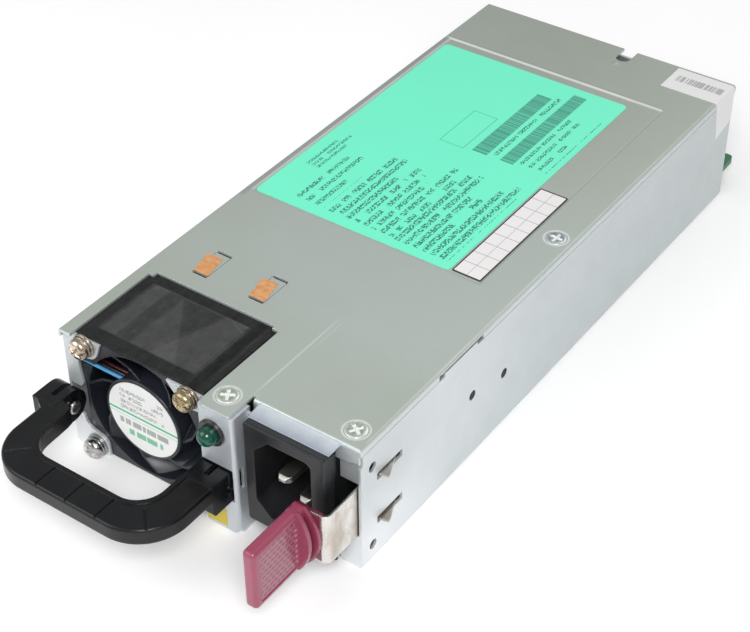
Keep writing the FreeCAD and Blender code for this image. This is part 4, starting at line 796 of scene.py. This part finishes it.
def film_finish():
    """Black film whose tone follows the form's painted light and shade, with clouds, slanting streaks and a
    few specks.
    """
    f = Finish("film_formed", (0.03, 0.03, 0.03), 0.42)
    shade = f.add("ShaderNodeAttribute", attribute_name="shade").outputs["Fac"]
    streak = f.noise(1.0, 3, 0.7, at=f.placed(stretch=(900, 220, 900), turn=(0, 0, 0.7)))
    cloud = f.span(f.noise(260, 4, 0.65), 0.3, 0.7)
    # The shade attribute holds the form's painted light and shade.
    mix = f.plus(shade, f.times(f.minus(cloud, 0.5), 0.16))
    mix = f.plus(mix, f.times(f.minus(streak, 0.5), 0.25))
    tone = f.blend(f.span(mix, 0, 1), (0.005, 0.0055, 0.0055), (0.075, 0.077, 0.076))
    specks = f.span(f.noise(2600, 2, 0.5), 0.72, 0.76, 0.0, 0.5)
    f.put("Base Color", f.blend(specks, tone, (0.22, 0.22, 0.21)))
    f.put("Roughness", f.span(cloud, 0, 1, 0.38, 0.54))
    f.put("Specular IOR Level", 0.22)
    f.relief(f.plus(f.noise(900, 3, 0.6), f.times(streak, 0.5)), 0.25, 0.00008)
    return f.mat


def closed_mesh(name, points, quads, low, high):
    """A smooth mesh in millimetres: a tube of quads, closed by a fan of triangles at each end."""
    mesh = bpy.data.meshes.new(name)
    mesh.from_pydata((points * mm).tolist(), [], quads.tolist() + low.tolist() + high.tolist())
    mesh.shade_smooth()
    obj = bpy.data.objects.new(name, mesh)
    bpy.context.collection.objects.link(obj)
    return obj


def turned(name, profile, place, axis, recess, spin, sides=72):
    """Closed surface of revolution. Ring i is (r_i cos t, r_i sin t, h_i), less recess(x, y) on its top."""
    r, h = np.array(profile, float).T
    t = spin + np.linspace(0, 2 * np.pi, sides, endpoint=False)
    x = np.outer(r[1:-1], np.cos(t))
    y = np.outer(r[1:-1], np.sin(t))
    z = np.repeat(h[1:-1, None], sides, axis=1)
    inward = np.cumsum(np.r_[0, np.diff(r[1:-1]) < -1e-6]) > 0
    top = inward & (h[1:-1] > h.max() * 0.6)
    z = z - np.where(top[:, None], recess(x, y, spin), 0.0)
    end = h[-1] - recess(np.zeros(1), np.zeros(1), spin)[0]
    ring = np.stack([x, y, z], axis=-1).reshape(-1, 3)
    points = np.concatenate([[[0, 0, h[0]]], ring, [[0, 0, end]]])
    frames = {"z": ((1, 0, 0), (0, 1, 0), (0, 0, 1)), "-y": ((1, 0, 0), (0, 0, 1), (0, -1, 0))}
    points = points @ np.array(frames[axis], float) + np.array(place)
    index = 1 + np.arange((len(r) - 2) * sides).reshape(-1, sides)
    after = np.roll(index, -1, axis=1)
    quads = np.stack([index[:-1], after[:-1], after[1:], index[1:]], axis=-1).reshape(-1, 4)
    low = np.stack([np.zeros(sides, int), after[0], index[0]], axis=-1)
    high = np.stack([index[-1], after[-1], np.full(sides, len(points) - 1)], axis=-1)
    return closed_mesh(name, points, quads, low, high)


def cross(width, length, depth):
    """Cross recess: depth * max over both arms of step(1 - |a| / width) * step(1 - |b| / length)."""
    def arm(p, q):
        return smooth(1 - np.abs(p) / width, 0, 0.5) * smooth(1 - np.abs(q) / length, 0, 0.35)

    def dent(x, y, spin):
        a = x * np.cos(spin) + y * np.sin(spin)
        b = y * np.cos(spin) - x * np.sin(spin)
        return depth * np.maximum(arm(a, b), arm(b, a))
    return dent


def dome(radius, low, high, power=2.4, steps=26):
    """Quarter of a superellipse: out = radius cos^(2/power) a, up = low + (high - low) sin^(2/power) a."""
    a = np.linspace(0, np.pi / 2, steps)[:-1]
    out = radius * np.cos(a) ** (2 / power)
    up = low + (high - low) * np.sin(a) ** (2 / power)
    return list(zip(out, up)) + [(0, high)]


def fan_screw_heads():
    """Pan heads on a spring washer and a flat washer, against the fan lugs' front faces."""
    lug_face = 1.5
    shank = [(0, -5.5), (1.4, -5.5), (1.4, 0)]
    flat_washer = [(3.15, 0), (3.25, 0.08), (3.25, 0.52), (3.15, 0.60), (2.72, 0.62)]
    spring_washer = [(2.85, 0.70), (2.90, 0.80), (2.90, 1.25), (2.82, 1.36), (2.66, 1.42)]
    head = [(2.80, 1.47), (2.9, 1.6)] + dome(2.9, 1.9, 3.8)
    profile = shank + flat_washer + spring_washer + head
    looks = [grey_head, rose_head, grey_head, gold_head]
    for i, (a, b) in enumerate(sorted(head_centres("fan_screws", [0, 2]))):
        place = (1000 * a, lug_face, 1000 * b)
        turn = 0.35 + 0.6 * i
        obj = turned("fan_screw_%d" % i, profile, place, "-y", cross(0.34, 1.9, 0.85), turn)
        dress(obj, worn_plating("fan_screw_finish_%d" % i, looks[i], a, b))
        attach(obj, "housing")
        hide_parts("fan_screws")


def worn_plating(name, look, a, b):
    """Bright head, dull drift and a dark washer stack, told apart by distance from the lug."""
    bright, dull, edge = look
    f = Finish(name, bright, 0.22, 1.0)
    drift = f.span(f.noise(520, 3, 0.55), 0.38, 0.62)
    tone = f.blend(drift, bright, dull)
    tone = f.blend(f.span(f.axis("Y"), -0.3 * mm, 0.1 * mm), tone, edge)
    rim = f.span(f.disc(a, b, "XZ"), 2.2 * mm, 2.9 * mm)
    tone = f.blend(f.times(rim, 0.5), tone, dull)
    f.put("Base Color", tone)
    f.put("Roughness", f.span(f.noise(1500, 2, 0.6), 0.3, 0.7, 0.14, 0.36))
    f.relief(f.noise(1500, 3, 0.6), 0.2, 0.0001)
    return f.mat


def cover_screw_heads():
    """Low heads with a wide cross recess, sunk in the cover's dishes."""
    (_, _, low), (_, _, high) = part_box("cover_screws")
    low, high = 1000 * low, 1000 * high
    rise = high - 0.55
    profile = [(0, low), (1.2, low), (1.2, rise), (2.7, rise), (2.8, rise + 0.08)]
    profile += dome(2.8, rise + 0.14, high, 3.0, 34)
    for i, (a, b) in enumerate(sorted(head_centres("cover_screws", [0, 1]))):
        place = (1000 * a, 1000 * b, 0)
        turn = 0.5 + 0.5 * i
        obj = turned("cover_screw_%d" % i, profile, place, "z", cross(0.60, 2.2, 0.40), turn)
        dress(obj, finishes["cover_screws"])
        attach(obj, "housing")
        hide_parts("cover_screws")


def blunt(value):
    """Keeps the sign of a sine or cosine and raises its size to the power 0.3, for a rounded rectangle."""
    return np.sign(value) * np.abs(value) ** 0.3


def blade_pieces():
    """Contact blades: section (w blunt(cos t), h blunt(sin t)); w and h grow over 1.5 mm from the tip."""
    (_, front, _), (_, rear, _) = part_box("inlet_blades")
    sides = 40
    for i, (a, b) in enumerate(sorted(head_centres("inlet_blades", [0, 2], 0.0048))):
        # The first blade stands further forward than the other two.
        set_back = 0.0 if i == 0 else 2.6
        tip = 1000 * front + set_back
        y = np.concatenate([tip + 1.9 * np.linspace(0, 1, 16) ** 1.5, np.linspace(tip + 3, 1000 * rear, 10)])
        grow = np.minimum(1, (y - tip) / 1.5)
        t = np.linspace(0, 2 * np.pi, sides, endpoint=False)
        x = 1000 * a + np.outer(0.95 + 1.05 * grow, blunt(np.cos(t)))
        z = 1000 * b + np.outer(0.45 + 0.55 * np.minimum(1, grow * 1.6), blunt(np.sin(t)))
        ring = np.stack([x, np.repeat(y[:, None], sides, axis=1), z], axis=-1).reshape(-1, 3)
        points = np.concatenate([ring, [[1000 * a, y[0], 1000 * b], [1000 * a, y[-1], 1000 * b]]])
        index = np.arange(len(ring)).reshape(-1, sides)
        after = np.roll(index, -1, axis=1)
        quads = np.stack([index[:-1], index[1:], after[1:], after[:-1]], axis=-1).reshape(-1, 4)
        near = np.stack([index[0], after[0], np.full(sides, len(ring))], axis=-1)
        far = np.stack([after[-1], index[-1], np.full(sides, len(ring) + 1)], axis=-1)
        obj = closed_mesh("blade_%d" % i, points, quads, near, far)
        dress(obj, finishes["inlet_blades"])
        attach(obj, "housing")
        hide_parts("inlet_blades")


def cover_apron():
    """Pale sheet flap between the inlet's flange and the cover's lip, in painted shade darker towards the
    flange: z = 37.55 + 0.75 s^1.3 + a wave.
    """
    inlet_lo, inlet_hi = [[1000 * v for v in corner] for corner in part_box("inlet_housing")]
    front, depth, underside = 2.5, 4.6, 37.35
    across = np.linspace(inlet_lo[0] - 0.3, inlet_hi[0] - 0.2, 60)
    x, s = np.meshgrid(across, np.linspace(0, 1, 24), indexing="ij")
    z = 37.55 + 0.75 * s ** 1.3 + 0.03 * np.sin(x * 0.5)
    obj = slab("cover_apron", x, front + depth * s, z, underside, s)
    f = Finish("apron_zinc", (0.6, 0.64, 0.68), 0.45, 0.45)
    shade = f.add("ShaderNodeAttribute", attribute_name="shade").outputs["Fac"]
    drift = f.span(f.noise(220, 3, 0.6), 0.35, 0.65, -0.12, 0.12)
    # Painted shade: darker and bluer towards the flange, lighter towards the lip.
    f.put("Base Color", f.blend(f.span(f.plus(shade, drift), 0, 1), (0.38, 0.43, 0.50), (0.70, 0.76, 0.80)))
    f.relief(f.noise(1600, 2, 0.6), 0.1, 0.00008)
    dress(obj, f.mat)
    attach(obj, "housing")


film_skin()
fan_screw_heads()
cover_screw_heads()
blade_pieces()
cover_apron()


# ------------------------------------------------------------------ studio
def studio():
    """Pale floor, soft lights, white surround and the camera."""
    floor = Finish("floor_pale", (0.96, 0.96, 0.96), 0.8)
    cloud = floor.span(floor.noise(6, 3, 0.5), 0.3, 0.7)
    floor.put("Base Color", floor.blend(cloud, (0.94, 0.94, 0.94), (0.98, 0.98, 0.98)))
    floor.put("Emission Color", (1, 1, 1, 1))
    floor.put("Emission Strength", 0.10)
    half = 3.0
    mesh = bpy.data.meshes.new("floor")
    corners = [(-half, -half, 0), (half, -half, 0), (half, half, 0), (-half, half, 0)]
    mesh.from_pydata(corners, [], [(0, 1, 2, 3)])
    plane = bpy.data.objects.new("floor", mesh)
    bpy.context.collection.objects.link(plane)
    dress(plane, floor.mat)

    world = bpy.data.worlds.new("surround")
    world.use_nodes = True
    world.node_tree.nodes["Background"].inputs["Color"].default_value = (1, 1, 1, 1)
    world.node_tree.nodes["Background"].inputs["Strength"].default_value = 0.47
    bpy.context.scene.world = world

    for name, place, aim, size, power in (
        ("key", (0.30, -0.34, 0.52), (0.02, 0.02, 0.02), 0.26, 2.7),
        ("fill", (-0.50, -0.50, 0.60), (0, 0.02, 0.02), 0.60, 2.8),
        ("rear", (0.10, 0.80, 0.70), (0, 0.10, 0.02), 0.70, 1.5),
    ):
        lamp = bpy.data.lights.new(name, "AREA")
        lamp.size = size
        lamp.energy = power
        obj = bpy.data.objects.new(name, lamp)
        obj.location = place
        obj.rotation_mode = "QUATERNION"
        obj.rotation_quaternion = (Vector(aim) - Vector(place)).to_track_quat("-Z", "Y")
        bpy.context.collection.objects.link(obj)

    azimuth, elevation, roll = (math.radians(v) for v in (35.53, 39.19, 0.44))
    reach = math.cos(elevation)
    back = Vector((math.sin(azimuth) * reach, -math.cos(azimuth) * reach, math.sin(elevation)))
    cam = bpy.data.cameras.new("camera")
    cam.lens = 82.94
    cam.sensor_width = 36.0
    cam.clip_start = 0.01
    eye = bpy.data.objects.new("camera", cam)
    eye.location = (0.2086, -0.2190, 0.3061)
    eye.rotation_mode = "QUATERNION"
    eye.rotation_quaternion = Quaternion(back, -roll) @ (-back).to_track_quat("-Z", "Y")
    bpy.context.collection.objects.link(eye)
    bpy.context.scene.camera = eye
    bpy.context.scene.view_settings.view_transform = "Standard"


studio()
